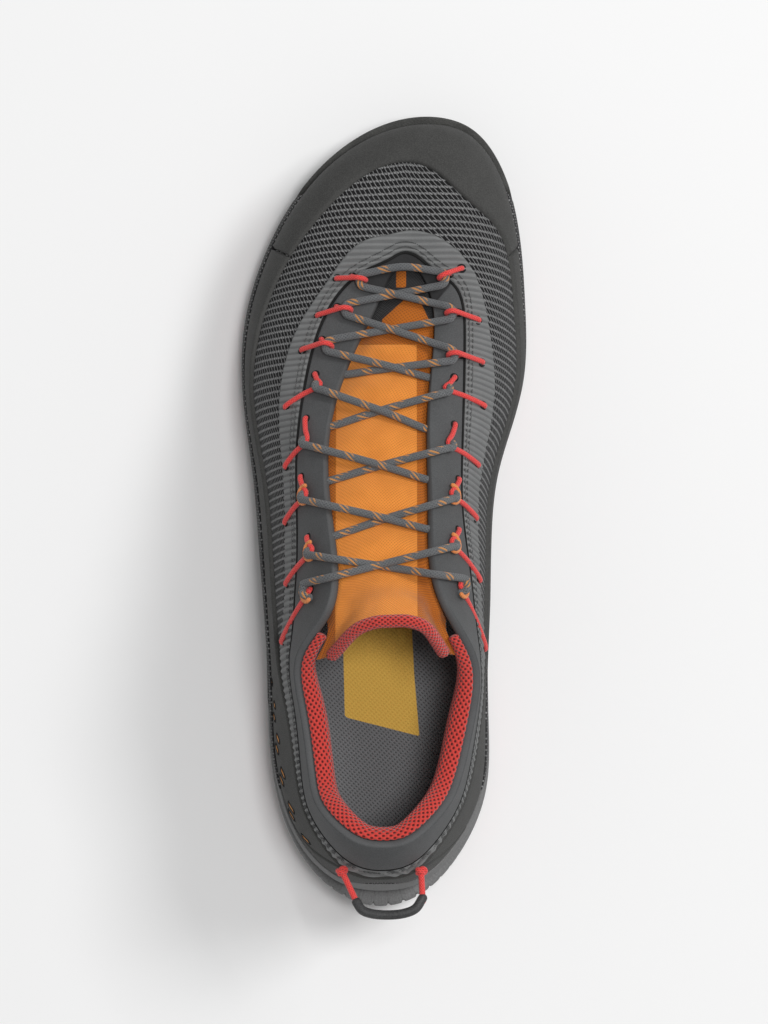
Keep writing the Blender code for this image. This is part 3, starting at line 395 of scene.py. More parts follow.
    def top_line(self, station: np.ndarray) -> tuple[np.ndarray, np.ndarray, np.ndarray]:
        """Points of the upper's top line, with the directions off the wall and up it."""
        top, away = self.girth(station, np.ones_like(station)), self.away(station, np.ones_like(station))
        up = top - self.girth(station, np.full_like(station, 0.95))
        return top, away, up / np.linalg.norm(up, axis=-1, keepdims=True)

    def seam(self, column: str, station: np.ndarray) -> np.ndarray:
        """Share of the upper's height at which an overlay's seam runs."""
        return np.clip(self.section(station)[..., self.columns.index(column)], 0.0, 0.97)

    def throat(self, side: Side, s: float) -> np.ndarray:
        """Point of the throat's edge on one side, at a place along the foot."""
        stations = np.arange(6.0, self.toe_station, 0.1)
        top = self.section(stations if side is Side.OUTER else self.count - stations)[:, 7:10]
        order = np.argsort(top[:, 0])
        return np.array([np.interp(s, top[order, 0], top[order, axis]) for axis in range(3)])


class Sheet:
    """A grid of points that becomes one smooth mesh with its cloth coordinates."""

    def __init__(self, rows: np.ndarray, cloth: np.ndarray | None = None, closed: bool = False,
                 fields: dict[str, np.ndarray] | None = None) -> None:
        """Keep the grid.

        Args:
            rows: Points by row and column, in shoe coordinates.
            cloth: Two texture distances at each point; a closed sheet has one more column of them.
            closed: Whether the last column meets the first.
            fields: Named values at each point.
        """
        self.rows, self.closed, self.fields = np.asarray(rows, float), closed, fields or {}
        count, around = self.rows.shape[:2]
        if cloth is None:
            cloth = np.zeros((count, around + closed, 2))
        self.cloth = cloth

    def piece(self, name: str, outward: np.ndarray | None = None) -> bpy.types.Object:
        """Make the object.

        Args:
            name: The piece's name.
            outward: Direction that its faces look in at each point, or None for away from its middle.

        Returns:
            The new mesh object.
        """
        count, around = self.rows.shape[:2]
        row, column = np.meshgrid(np.arange(count - 1), np.arange(around - 1 + self.closed), indexing="ij")
        beside = (column + 1) % around
        quads = np.stack([row * around + column, row * around + beside,
                          (row + 1) * around + beside, (row + 1) * around + column], axis=-1).reshape(-1, 4)
        wide = self.cloth.shape[1]
        corner = np.stack([row * wide + column, row * wide + column + 1,
                           (row + 1) * wide + column + 1, (row + 1) * wide + column], axis=-1).reshape(-1, 4)
        points = place(self.rows).reshape(-1, 3)
        first, second, third, fourth = (points[quads[:, k]] for k in range(4))
        across = np.cross(third - first, fourth - second)
        centre = points[quads].mean(axis=1)
        if outward is None:
            look = centre - points.mean(axis=0)
        else:
            turned = np.asarray(outward, float)[..., :3] * [-1, -1, 1]
            look = turned[..., [1, 0, 2]].reshape(-1, 3)[quads[:, 0]]
        if (across * look).sum() < 0:
            quads, corner = quads[:, ::-1], corner[:, ::-1]
        mesh = bpy.data.meshes.new(name)
        mesh.from_pydata(points.tolist(), [], quads.tolist())
        flat = np.concatenate([self.cloth.reshape(-1, 2), np.zeros((self.cloth.shape[0] * wide, 1))], axis=1)
        made = mesh.attributes.new(CLOTH, "FLOAT_VECTOR", "CORNER")
        made.data.foreach_set("vector", flat[corner.reshape(-1)].astype(np.float32).ravel())
        for label, values in self.fields.items():
            made = mesh.attributes.new(label, "FLOAT", "POINT")
            made.data.foreach_set("value", np.asarray(values, np.float32).ravel())
        mesh.polygons.foreach_set("use_smooth", np.ones(len(mesh.polygons), bool))
        mesh.update()
        return stand(name, mesh)


def join(name: str, parts: Sequence[bpy.types.Object]) -> bpy.types.Object:
    """Make one object out of several meshes.

    Args:
        name: The new piece's name.
        parts: Mesh objects, which are taken up into it.

    Returns:
        The joined piece.
    """
    with bpy.context.temp_override(active_object=parts[0], object=parts[0], selected_objects=list(parts),
                                   selected_editable_objects=list(parts)):
        bpy.ops.object.join()
    parts[0].name = name
    parts[0].data.name = name
    return parts[0]


def cord_rows(path: np.ndarray, radius: float | np.ndarray, sides: int) -> tuple[np.ndarray, np.ndarray]:
    """Sweep a round section along a path.

    Args:
        path: Points on the cord's middle line.
        radius: Radius, or one for each point.
        sides: Points round the cord.

    Returns:
        Rows of points round the cord, closed at both ends, and their distances along and round it.
    """
    radius = np.broadcast_to(radius, len(path)).astype(float)
    tangent = np.gradient(path, axis=0)
    tangent /= np.linalg.norm(tangent, axis=1, keepdims=True)
    normal = np.cross(tangent[0], [0.0, 0.0, 1.0])
    if np.linalg.norm(normal) < 0.1:
        normal = np.cross(tangent[0], [0.0, 1.0, 0.0])
    frames = []
    for ahead in tangent:
        normal = normal - ahead * normal.dot(ahead)
        normal /= np.linalg.norm(normal)
        frames.append((normal, np.cross(ahead, normal)))
    angle = np.linspace(0, 2 * math.pi, sides, endpoint=False)
    run = distances(path)
    caps = ((0, -1.0, 0.02), (0, -0.8, 0.6), (0, -0.45, 0.9))
    places = [(k, back, size) for k, back, size in caps]
    places += [(k, 0.0, 1.0) for k in range(len(path))]
    places += [(len(path) - 1, -back, size) for _, back, size in caps[::-1]]
    rows, cloth = [], []
    for k, forward, size in places:
        first, second = frames[k]
        middle = path[k] + tangent[k] * forward * radius[k]
        ring = np.cos(angle)[:, None] * first + np.sin(angle)[:, None] * second
        rows.append(middle + ring * radius[k] * size)
        turn = np.append(angle, 2 * math.pi) * radius[k]
        cloth.append(np.stack([np.full(sides + 1, run[k] + forward * radius[k]), turn], axis=-1))
    return np.array(rows), np.array(cloth)


def cord(name: str, path: np.ndarray, radius: float | np.ndarray, sides: int = 12) -> bpy.types.Object:
    """Make one length of round cord.

    Args:
        name: The piece's name.
        path: Points on its middle line.
        radius: Radius, or one for each point.
        sides: Points round the cord.

    Returns:
        The cord.
    """
    rows, cloth = cord_rows(path, radius, sides)
    middle = rows.mean(axis=1, keepdims=True)
    return Sheet(rows, cloth, closed=True).piece(name, outward=rows - middle)


def colour(hex_code: str) -> tuple[float, float, float, float]:
    """Turn a screen colour such as 6b6b6b into the linear values that a shader takes."""
    parts = [int(hex_code[k:k + 2], 16) / 255 for k in (0, 2, 4)]
    linear = [p / 12.92 if p <= 0.04045 else ((p + 0.055) / 1.055) ** 2.4 for p in parts]
    return (*linear, 1.0)


Socket = bpy.types.NodeSocket
Value = float | Socket


class Graph:
    """Adds nodes to a material or a node group and joins them up."""

    def __init__(self, tree: bpy.types.NodeTree) -> None:
        """Start on a tree."""
        self.tree = tree

    def node(self, kind: str, inputs: dict[int | str, object] | None = None,
             **settings: object) -> bpy.types.Node:
        """Add one node.

        Args:
            kind: The node's type name.
            inputs: Values or sockets by input name or number.
            settings: The node's own properties.

        Returns:
            The node.
        """
        made = self.tree.nodes.new(kind)
        for name, value in settings.items():
            setattr(made, name, value)
        for name, value in (inputs or {}).items():
            self.feed(made.inputs[name], value)
        return made

    def feed(self, socket: Socket, value: object) -> None:
        """Give a socket a value, or join another socket to it."""
        if isinstance(value, bpy.types.NodeSocket):
            self.tree.links.new(value, socket)
        else:
            socket.default_value = value

    def math(self, kind: str, first: Value, second: Value = 0.0, third: Value = 0.0) -> Socket:
        """Work out a value from up to three others."""
        return self.node("ShaderNodeMath", {0: first, 1: second, 2: third}, operation=kind).outputs[0]

    def wave(self, value: Value, period: Value, shift: Value = 0.0) -> Socket:
        """Run a cosine from 0 to 1 over a distance."""
        turns = self.math("ADD", self.math("DIVIDE", value, period), shift)
        turned = self.math("COSINE", self.math("MULTIPLY", turns, 2 * math.pi))
        return self.math("MULTIPLY_ADD", turned, 0.5, 0.5)

    def step(self, value: Value, low: Value, high: Value) -> Socket:
        """Step smoothly from 0 to 1 between two values."""
        return self.node("ShaderNodeMapRange", {0: value, 1: low, 2: high, 3: 0.0, 4: 1.0},
                         interpolation_type="SMOOTHSTEP").outputs[0]

    def mix(self, share: Value, first: object, second: object) -> Socket:
        """Blend two colours."""
        made = self.node("ShaderNodeMix", data_type="RGBA")
        self.feed(made.inputs[0], share)
        self.feed(made.inputs[6], first)
        self.feed(made.inputs[7], second)
        return made.outputs[2]

    def blend(self, share: Value, first: Value, second: Value) -> Socket:
        """Blend two values."""
        made = self.node("ShaderNodeMix", data_type="FLOAT")
        for socket, value in zip(made.inputs[:1] + made.inputs[2:4], (share, first, second)):
            self.feed(socket, value)
        return made.outputs[0]

    def noise(self, vector: Socket, scale: Value, detail: float) -> Socket:
        """Read soft noise."""
        settings = {"Vector": vector, "Scale": scale, "Detail": detail}
        return self.node("ShaderNodeTexNoise", settings).outputs[0]


def group(name: str, inputs: dict[str, float | None], outputs: Sequence[str],
          wire: Callable[[Graph, dict[str, Socket]], dict[str, Socket]]) -> bpy.types.NodeTree:
    """Build a shader node group once.

    Args:
        name: The group's name.
        inputs: Input names with their defaults; None stands for a vector.
        outputs: Names of the values it puts out.
        wire: Adds the nodes and gives back a socket for each output.

    Returns:
        The group, which is only made at the first call.
    """
    if name in bpy.data.node_groups:
        return bpy.data.node_groups[name]
    tree = bpy.data.node_groups.new(name, "ShaderNodeTree")
    for label, value in inputs.items():
        kind = "NodeSocketVector" if value is None else "NodeSocketFloat"
        socket = tree.interface.new_socket(label, in_out="INPUT", socket_type=kind)
        if value is not None:
            socket.default_value = value
    for label in outputs:
        tree.interface.new_socket(label, in_out="OUTPUT", socket_type="NodeSocketFloat")
    graph = Graph(tree)
    source = graph.node("NodeGroupInput")
    made = wire(graph, {label: source.outputs[label] for label in inputs})
    sink = graph.node("NodeGroupOutput")
    for label in outputs:
        graph.feed(sink.inputs[label], made[label])
    return tree


def wire_fine_grain(g: Graph, ins: dict[str, Socket]) -> dict[str, Socket]:
    """Fine speckle with a slower cloudiness under it."""
    scale = g.math("DIVIDE", 1.0, ins["Size"])
    fine = g.noise(ins["Vector"], scale, 3.0)
    slow = g.noise(ins["Vector"], g.math("MULTIPLY", scale, 0.06), 2.0)
    return {"Speckle": g.step(fine, 0.35, 0.68), "Cloud": g.step(slow, 0.3, 0.7)}


def wire_edge_wear(g: Graph, ins: dict[str, Socket]) -> dict[str, Socket]:
    """Worn band along a free edge, broken up by noise."""
    lumps = g.noise(ins["Vector"], 0.35, 3.0)
    reach = g.math("MULTIPLY", ins["Width"], g.math("ADD", lumps, 0.35))
    return {"Wear": g.math("SUBTRACT", 1.0, g.step(ins["Edge distance"], 0.0, reach))}


def wire_zigzag_knit(g: Graph, ins: dict[str, Socket]) -> dict[str, Socket]:
    """Open knit: twisted strands in rows, joined by slanted links with holes between them."""
    parts = g.node("ShaderNodeSeparateXYZ", {0: ins["Vector"]})
    x, y = parts.outputs[0], parts.outputs[1]
    level = g.math("DIVIDE", y, ins["Row pitch"])
    share = g.math("FRACT", level)
    crest = g.math("SINE", g.math("MULTIPLY", share, 2 * math.pi))
    row = g.math("POWER", g.math("MAXIMUM", crest, 0.0001), 0.8)
    turned = g.math("ADD", x, g.math("MULTIPLY", y, 0.9))
    twist = g.wave(turned, g.math("MULTIPLY", ins["Stitch pitch"], 0.72))
    strand = g.math("MULTIPLY", row, g.math("MULTIPLY_ADD", twist, 0.6, 0.4))
    slant = g.math("ADD", x, g.math("MULTIPLY", y, 0.8))
    link = g.step(g.wave(slant, ins["Stitch pitch"]), 0.6, 0.98)
    height = g.math("MAXIMUM", strand, g.math("MULTIPLY", link, 0.5))
    return {"Height": height, "Strand": g.step(height, 0.16, 0.72)}


def wire_twill(g: Graph, ins: dict[str, Socket]) -> dict[str, Socket]:
    """Close diagonal weave."""
    parts = g.node("ShaderNodeSeparateXYZ", {0: ins["Vector"]})
    x, y = parts.outputs[0], parts.outputs[1]
    over = g.wave(g.math("ADD", x, y), ins["Pitch"])
    under = g.wave(g.math("SUBTRACT", x, y), g.math("MULTIPLY", ins["Pitch"], 1.35))
    height = g.math("ADD", g.math("MULTIPLY", over, 0.62), g.math("MULTIPLY", under, 0.38))
    return {"Height": height, "Gap": g.math("SUBTRACT", 1.0, g.step(height, 0.12, 0.42))}


def wire_bead_knit(g: Graph, ins: dict[str, Socket]) -> dict[str, Socket]:
    """Raised stitches set like bricks, with pits between them and a mask of the pits for painted shade."""
    parts = g.node("ShaderNodeSeparateXYZ", {0: ins["Vector"]})
    x = g.math("MULTIPLY", g.math("DIVIDE", parts.outputs[0], ins["Length"]), 2 * math.pi)
    y = g.math("MULTIPLY", g.math("DIVIDE", parts.outputs[1], ins["Width"]), 2 * math.pi)
    lattice = g.math("MULTIPLY", g.math("COSINE", x), g.math("COSINE", y))
    height = g.math("MULTIPLY_ADD", lattice, 0.5, 0.5)
    return {"Height": g.math("POWER", height, 0.8), "Gap": g.math("SUBTRACT", 1.0, g.step(height, 0.16, 0.5))}


def wire_braid(g: Graph, ins: dict[str, Socket]) -> dict[str, Socket]:
    """Braided sheath of a cord, with flecks of a second yarn at intervals."""
    parts = g.node("ShaderNodeSeparateXYZ", {0: ins["Vector"]})
    x, y = parts.outputs[0], parts.outputs[1]
    left = g.wave(g.math("ADD", x, g.math("MULTIPLY", y, 1.1)), ins["Pitch"])
    right = g.wave(g.math("SUBTRACT", x, g.math("MULTIPLY", y, 1.1)), ins["Pitch"])
    height = g.math("MAXIMUM", left, right)
    slant = g.math("ADD", x, g.math("MULTIPLY", y, 0.45))
    turn = g.math("FRACT", g.math("DIVIDE", slant, ins["Fleck every"]))
    band = g.math("MULTIPLY", g.step(turn, 0.04, 0.08), g.math("SUBTRACT", 1.0, g.step(turn, 0.3, 0.36)))
    steep = g.math("ADD", x, g.math("MULTIPLY", y, 1.4))
    yarn = g.step(g.wave(steep, g.math("MULTIPLY", ins["Pitch"], 1.9)), 0.5, 0.7)
    return {"Height": height, "Fleck": g.math("MULTIPLY", band, yarn)}


def wire_knurl(g: Graph, ins: dict[str, Socket]) -> dict[str, Socket]:
    """Small raised diamonds in slanted rows."""
    parts = g.node("ShaderNodeSeparateXYZ", {0: ins["Vector"]})
    x = g.math("DIVIDE", parts.outputs[0], ins["Length"])
    y = g.math("DIVIDE", parts.outputs[1], ins["Width"])
    first = g.math("PINGPONG", g.math("ADD", x, y), 0.5)
    second = g.math("PINGPONG", g.math("SUBTRACT", x, y), 0.5)
    height = g.math("MULTIPLY", g.math("MULTIPLY", first, 2.0), g.math("MULTIPLY", second, 2.0))
    return {"Height": height, "Tip": g.step(height, 0.25, 0.8)}


def placed(graph: Graph, kind: str, **inputs: object) -> dict[str, Socket]:
    """Put one of the shared groups into a material.

    Args:
        graph: The material's graph.
        kind: The effect's name in EFFECTS.
        inputs: Its inputs, with underscores for the spaces in their names.

    Returns:
        Its outputs by name.
    """
    wire, defaults, outputs = EFFECTS[kind]
    tree = group(kind, defaults, outputs, wire)
    made = graph.node("ShaderNodeGroup", node_tree=tree)
    for label, value in inputs.items():
        graph.feed(made.inputs[label.replace("_", " ")], value)
    return {label: made.outputs[label] for label in outputs}


EFFECTS: dict[str, tuple[Callable, dict[str, float | None], tuple[str, ...]]] = {
    "fine grain": (wire_fine_grain, {"Vector": None, "Size": 0.5}, ("Speckle", "Cloud")),
    "edge wear": (wire_edge_wear, {"Vector": None, "Edge distance": 5.0, "Width": 0.8}, ("Wear",)),
    "zigzag knit": (wire_zigzag_knit, {"Vector": None, "Row pitch": 2.6, "Stitch pitch": 2.0},
                    ("Height", "Strand")),
    "twill": (wire_twill, {"Vector": None, "Pitch": 0.9}, ("Height", "Gap")),
    "bead knit": (wire_bead_knit, {"Vector": None, "Length": 2.4, "Width": 1.9}, ("Height", "Gap")),
    "braid": (wire_braid, {"Vector": None, "Pitch": 1.4, "Fleck every": 12.0}, ("Height", "Fleck")),
    "knurl": (wire_knurl, {"Vector": None, "Length": 1.9, "Width": 1.4}, ("Height", "Tip")),
}


@dataclass(frozen=True)
class Finish:
    """What every finish of the shoe has: its names, colours and how rough it is."""

    name: str
    slot: str
    tone: str
    deep: str
    roughness: float = 0.8
    specular: float = 0.3
    relief: float = 0.3

    def material(self) -> bpy.types.Material:
        """Make the material, once for each finish."""
        if self.name in bpy.data.materials:
            return bpy.data.materials[self.name]
        made = bpy.data.materials.new(self.name)
        made.use_nodes = True
        graph = Graph(made.node_tree)
        shader = made.node_tree.nodes["Principled BSDF"]
        shader.inputs["Roughness"].default_value = self.roughness
        shader.inputs["Specular IOR Level"].default_value = self.specular
        tone, height, rough = self.surface(graph)
        graph.feed(shader.inputs["Base Color"], tone)
        if rough is not None:
            graph.feed(shader.inputs["Roughness"], rough)
        bump = graph.node("ShaderNodeBump", {"Height": height, "Strength": 1.0, "Distance": self.relief * MM})
        graph.feed(shader.inputs["Normal"], bump.outputs[0])
        made.diffuse_color = colour(self.tone)
        self.dress(shader)
        return made

    def dress(self, shader: bpy.types.Node) -> None:
        """Set what is the same all over the surface."""

    def cloth(self, graph: Graph) -> Socket:
        """Distances over the piece's own cloth, in millimetres."""
        return graph.node("ShaderNodeAttribute", attribute_name=CLOTH).outputs["Vector"]

    def solid(self, graph: Graph) -> Socket:
        """Distances in the frame's axes, in millimetres."""
        source = graph.node("ShaderNodeTexCoord").outputs["Object"]
        return graph.node("ShaderNodeVectorMath", {0: source, "Scale": 1 / MM}, operation="SCALE").outputs[0]

    def value(self, graph: Graph, name: str) -> Socket:
        """One of the values kept at the piece's points."""
        return graph.node("ShaderNodeAttribute", attribute_name=name).outputs["Fac"]

    def surface(self, graph: Graph) -> tuple[Socket, Socket, Socket | None]:
        """Lay out the surface.

        Args:
            graph: The material's graph.

        Returns:
            Colour, height, and roughness where it changes over the surface.
        """
        raise NotImplementedError


@dataclass(frozen=True)
class MouldedRubber(Finish):
    """Rubber or foam from a mould: faint grain, cloudy patches and pale specks."""

    grain: float = 0.5
    light: str = "7a7a78"

    def surface(self, graph: Graph) -> tuple[Socket, Socket, Socket | None]:
        """Lay out the surface; see Finish.surface."""
        grain = placed(graph, "fine grain", Vector=self.solid(graph), Size=self.grain)
        base = graph.mix(graph.math("MULTIPLY", grain["Cloud"], 0.6), colour(self.tone), colour(self.deep))
        speck = graph.math("MULTIPLY", grain["Speckle"], 0.16)
        tone = graph.mix(speck, base, colour(self.light))
        rough = graph.blend(grain["Cloud"], self.roughness - 0.08, self.roughness + 0.06)
        return tone, grain["Speckle"], rough


@dataclass(frozen=True)
class KnurledFoam(Finish):
    """Midsole foam: raised diamonds with a painted highlight on their tips ahead of a slanted line; behind
    it, finely pitted foam with painted shade in its pits and in the heel's cut grooves.
    """

    # The next three colours: a painted highlight on the knurl's raised diamonds, which also tints the random
    # pale specks on the smooth foam; painted shade in the smooth foam's pits; painted shade in the heel's cut
    # grooves.
    tip: str = "b4b4b4"
    pit_shade: str = "5d5d5d"
    groove_shade: str = "1c1c1c"

    def surface(self, graph: Graph) -> tuple[Socket, Socket, Socket | None]:
        """Lay out the surface; see Finish.surface."""
        cloth = self.cloth(graph)
        zone = graph.step(self.value(graph, ZONE), -0.35, 0.35)
        knurl = placed(graph, "knurl", Vector=cloth, Length=2.1, Width=1.55)
        dots = placed(graph, "bead knit", Vector=cloth, Length=1.5, Width=1.5)
        grain = placed(graph, "fine grain", Vector=self.solid(graph), Size=0.6)
        # Painted highlight: lighten the raised diamonds' tips, more strongly in some patches than in others.
        tip_highlight_strength = graph.math("MULTIPLY_ADD", grain["Cloud"], 0.5, 0.45)
        edge_wear_and_tip_highlight = graph.mix(graph.math("MULTIPLY", knurl["Tip"], tip_highlight_strength), colour(self.deep), colour(self.tip))
        height = graph.node("ShaderNodeSeparateXYZ", {0: cloth}).outputs[1]
        # Painted shade: darken the pits of the smooth foam above 24 to 30 mm.
        dotted = graph.math("MULTIPLY", graph.step(height, 24.0, 30.0), dots["Gap"])
        smooth = graph.mix(graph.math("MULTIPLY", dotted, 0.35), colour(self.tone), colour(self.pit_shade))
        smooth = graph.mix(graph.math("MULTIPLY", grain["Speckle"], 0.12), smooth, colour(self.tip))
        # Painted shade: darken the heel's cut grooves by their depth.
        cut = graph.math("MULTIPLY", graph.step(self.value(graph, CUT), 0.25, 0.85), 0.9)
        smooth = graph.mix(cut, smooth, colour(self.groove_shade))
        tone = graph.mix(zone, smooth, edge_wear_and_tip_highlight)
        low = graph.math("MULTIPLY", dots["Height"], graph.math("MULTIPLY", dotted, 0.3))
        return tone, graph.blend(zone, graph.math("ADD", low, 0.3), knurl["Height"]), None


@dataclass(frozen=True)
class OpenKnit(Finish):
    """The upper's open mesh: light strands over a dark backing, with painted shade where the strands and
    links dip.
    """

    strand: str = "a2a2a2"
    rows: float = 2.6
    stitch: float = 2.0

    def surface(self, graph: Graph) -> tuple[Socket, Socket, Socket | None]:
        """Lay out the surface; see Finish.surface."""
        cloth = self.cloth(graph)
        knit = placed(graph, "zigzag knit", Vector=cloth, Row_pitch=self.rows, Stitch_pitch=self.stitch)
        grain = placed(graph, "fine grain", Vector=self.solid(graph), Size=0.45)
        yarn = graph.mix(grain["Speckle"], colour(self.tone), colour(self.strand))
        # The deep colour is the dark backing between the strands; since the mask follows the knit's height,
        # it also paints shade where the strands and links dip.
        return graph.mix(knit["Strand"], colour(self.deep), yarn), knit["Height"], None


@dataclass(frozen=True)
class BondedFilm(Finish):
    """Thin film bonded over cloth: matte, faintly mottled, paler where its edge wears, and on ribbed film
    with painted shade in the troughs between the ribs.
    """

    fleck: str = "555553"
    grain: float = 0.42
    weave: float = 0.9
    wear: float = 0.25
    # The next two settings: how strongly painted shade darkens the troughs between ribs, and that painted
    # shade's colour.
    ribbed: float = 0.0
    trough_shade: str = "2e2e2f"

    def surface(self, graph: Graph) -> tuple[Socket, Socket, Socket | None]:
        """Lay out the surface; see Finish.surface."""
        solid = self.solid(graph)
        grain = placed(graph, "fine grain", Vector=solid, Size=self.grain)
        weave = placed(graph, "twill", Vector=self.cloth(graph), Pitch=self.weave)
        edge_wear_and_tip_highlight = placed(graph, "edge wear", Vector=solid, Edge_distance=self.value(graph, EDGE), Width=0.9)
        base = graph.mix(graph.math("MULTIPLY", grain["Cloud"], 0.5), colour(self.tone), colour(self.deep))
        base = graph.mix(graph.math("MULTIPLY", grain["Speckle"], 0.35), base, colour(self.fleck))
        tone = graph.mix(graph.math("MULTIPLY", edge_wear_and_tip_highlight["Wear"], self.wear), base, colour(self.fleck))
        if self.ribbed:
            # Painted shade: darken the troughs between the ribs.
            low = graph.step(self.value(graph, RIB), 0.3, -0.9)
            tone = graph.mix(graph.math("MULTIPLY", low, self.ribbed), tone, colour(self.trough_shade))
        height = graph.math("ADD", grain["Speckle"], graph.math("MULTIPLY", weave["Height"], 0.5))
        return tone, height, None


@dataclass(frozen=True)
class PaddedKnit(Finish):
    """Thick red knit over padding, with painted shade in the pits between its stitches."""

    light: str = "cf4a42"
    length: float = 2.5
    width: float = 2.0

    def surface(self, graph: Graph) -> tuple[Socket, Socket, Socket | None]:
        """Lay out the surface; see Finish.surface."""
        knit = placed(graph, "bead knit", Vector=self.cloth(graph), Length=self.length, Width=self.width)
        grain = placed(graph, "fine grain", Vector=self.solid(graph), Size=0.35)
        yarn = graph.mix(graph.math("MULTIPLY", grain["Speckle"], 0.7), colour(self.tone), colour(self.light))
        # Painted shade: darken the pits between the stitches towards the deep colour.
        return graph.mix(knit["Gap"], yarn, colour(self.deep)), knit["Height"], None

    def dress(self, shader: bpy.types.Node) -> None:
        """Give the yarn a soft sheen."""
        shader.inputs["Sheen Weight"].default_value = 0.25
        shader.inputs["Sheen Roughness"].default_value = 0.5


@dataclass(frozen=True)
class TongueCloth(Finish):
    """Orange cloth: a fine weave over the middle, an open darker one at the sides, dark at the toe, with
    painted shade in the gaps of both weaves.
    """

    side: str = "b8661c"
    gusset: str = "2b2b2c"

    def surface(self, graph: Graph) -> tuple[Socket, Socket, Socket | None]:
        """Lay out the surface; see Finish.surface."""
        cloth = self.cloth(graph)
        fine = placed(graph, "twill", Vector=cloth, Pitch=1.0)
        open_weave = placed(graph, "bead knit", Vector=cloth, Length=1.5, Width=1.2)
        grain = placed(graph, "fine grain", Vector=self.solid(graph), Size=0.5)
        # Painted shade: darken the fine weave's gaps towards the side colour and the open weave's pits
        # towards the deep colour.
        middle = graph.mix(graph.math("MULTIPLY", fine["Gap"], 0.6), colour(self.tone), colour(self.side))
        pits = graph.math("MULTIPLY", open_weave["Gap"], 0.75)
        sides = graph.mix(pits, colour(self.side), colour(self.deep))
        panel = graph.step(self.value(graph, ZONE), -0.15, 0.15)
        both = graph.mix(panel, sides, middle)
        tone = graph.mix(graph.math("MULTIPLY", grain["Cloud"], 0.2), both, colour(self.side))
        orange = graph.step(self.value(graph, ORANGE), -0.12, 0.12)
        tone = graph.mix(orange, colour(self.gusset), tone)
        return tone, graph.blend(panel, open_weave["Height"], fine["Height"]), None

    def dress(self, shader: bpy.types.Node) -> None:
        """Give the cloth a soft sheen."""
        shader.inputs["Sheen Weight"].default_value = 0.15


@dataclass(frozen=True)
class FootbedCloth(Finish):
    """Dark twill of the footbed with a plain printed patch, and painted shade in the weave's gaps."""

    patch: str = "ffcc62"
    patch_gap_shade: str = "c88c2c"
    light: str = "7c7c7d"

    def surface(self, graph: Graph) -> tuple[Socket, Socket, Socket | None]:
        """Lay out the surface; see Finish.surface."""
        weave = placed(graph, "twill", Vector=self.cloth(graph), Pitch=1.5)
        grain = placed(graph, "fine grain", Vector=self.solid(graph), Size=0.6)
        yarn = graph.mix(graph.math("MULTIPLY", grain["Speckle"], 0.6), colour(self.tone), colour(self.light))
        # Painted shade: darken the twill's gaps, on the patch towards its darker print colour.
        base = graph.mix(weave["Gap"], yarn, colour(self.deep))
        low = graph.math("MULTIPLY", weave["Gap"], 0.3)
        print_on = graph.mix(low, colour(self.patch), colour(self.patch_gap_shade))
        inside = graph.step(self.value(graph, ZONE), -0.15, 0.15)
        return graph.mix(inside, base, print_on), weave["Height"], None


@dataclass(frozen=True)
class BraidedCord(Finish):
    """Braided sheath, plain or flecked with a second yarn, with painted shade between its strands."""

    fleck: str = "c98a4d"
    flecks: float = 0.0
    pitch: float = 1.3

    def surface(self, graph: Graph) -> tuple[Socket, Socket, Socket | None]:
        """Lay out the surface; see Finish.surface."""
        braid = placed(graph, "braid", Vector=self.cloth(graph), Pitch=self.pitch, Fleck_every=12.0)
        grain = placed(graph, "fine grain", Vector=self.solid(graph), Size=0.3)
        # Painted shade: darken the braid's low places between the strands towards the deep colour.
        low = graph.math("SUBTRACT", 1.0, graph.step(braid["Height"], 0.35, 0.85))
        yarn = graph.mix(graph.math("MULTIPLY", low, 0.75), colour(self.tone), colour(self.deep))
        yarn = graph.mix(graph.math("MULTIPLY", grain["Speckle"], 0.06), yarn, colour("ffffff"))
        flecked = graph.math("MULTIPLY", braid["Fleck"], self.flecks)
        return graph.mix(flecked, yarn, colour(self.fleck)), braid["Height"], None

    def dress(self, shader: bpy.types.Node) -> None:
        """Give the yarn a soft sheen."""
        shader.inputs["Sheen Weight"].default_value = 0.15


RUBBER = MouldedRubber("outsole rubber", "outsole_rubber", "4a4a48", "3a3a39", roughness=0.75, relief=0.12)
STRIPE = MouldedRubber("red foam", "stripe_foam", "fb625a", "ee544b", roughness=0.7, relief=0.06,
                       light="ff8a80")
FOAM = KnurledFoam("midsole foam", "midsole_foam", "707070", "2b2b2c", roughness=0.78, relief=0.5)
MESH = OpenKnit("upper mesh", "upper_mesh", "7d7d7e", "131314", roughness=0.85, relief=0.8)
INSIDE = MouldedRubber("inner lining cloth", "upper_mesh", "2b2b2c", "1e1e1f", roughness=0.95, relief=0.2)
RAND = BondedFilm("rand film", "rand_film", "3e3e3d", "353534", roughness=0.78, relief=0.09, fleck="5e5e5c")
COUNTER = BondedFilm("heel counter film", "counter_film", "3a3a39", "333332", roughness=0.75, relief=0.07)
# ribbed sets how dark the painted shade in the troughs between the ribs is.
BAND = BondedFilm("ribbed film", "band_ribbed", "797a7a", "6e6f6f", roughness=0.72, relief=0.05,
                  fleck="868787", ribbed=0.35)
FACING = BondedFilm("throat facing", "panel_smooth", "303031", "262627", roughness=0.85, relief=0.05,
                    fleck="3c3c3d")
PANEL = BondedFilm("collar film", "panel_smooth", "4d4e4f", "454647", roughness=0.68, relief=0.04,
                   fleck="626364")
LINING = PaddedKnit("red collar knit", "lining_knit", "cc3b33", "5a100e", roughness=0.9, relief=0.6)
BINDING = PaddedKnit("red binding knit", "lining_knit", "c43a33", "5a100e", roughness=0.9, relief=0.5,
                     length=1.9, width=1.6)
TONGUE = TongueCloth("tongue cloth", "tongue_fabric", "f0963f", "7d3f0e", roughness=0.88, relief=0.25)
FOOTBED = FootbedCloth("footbed cloth", "insole_fabric", "88888a", "5a5a5b", roughness=0.92, relief=0.3)
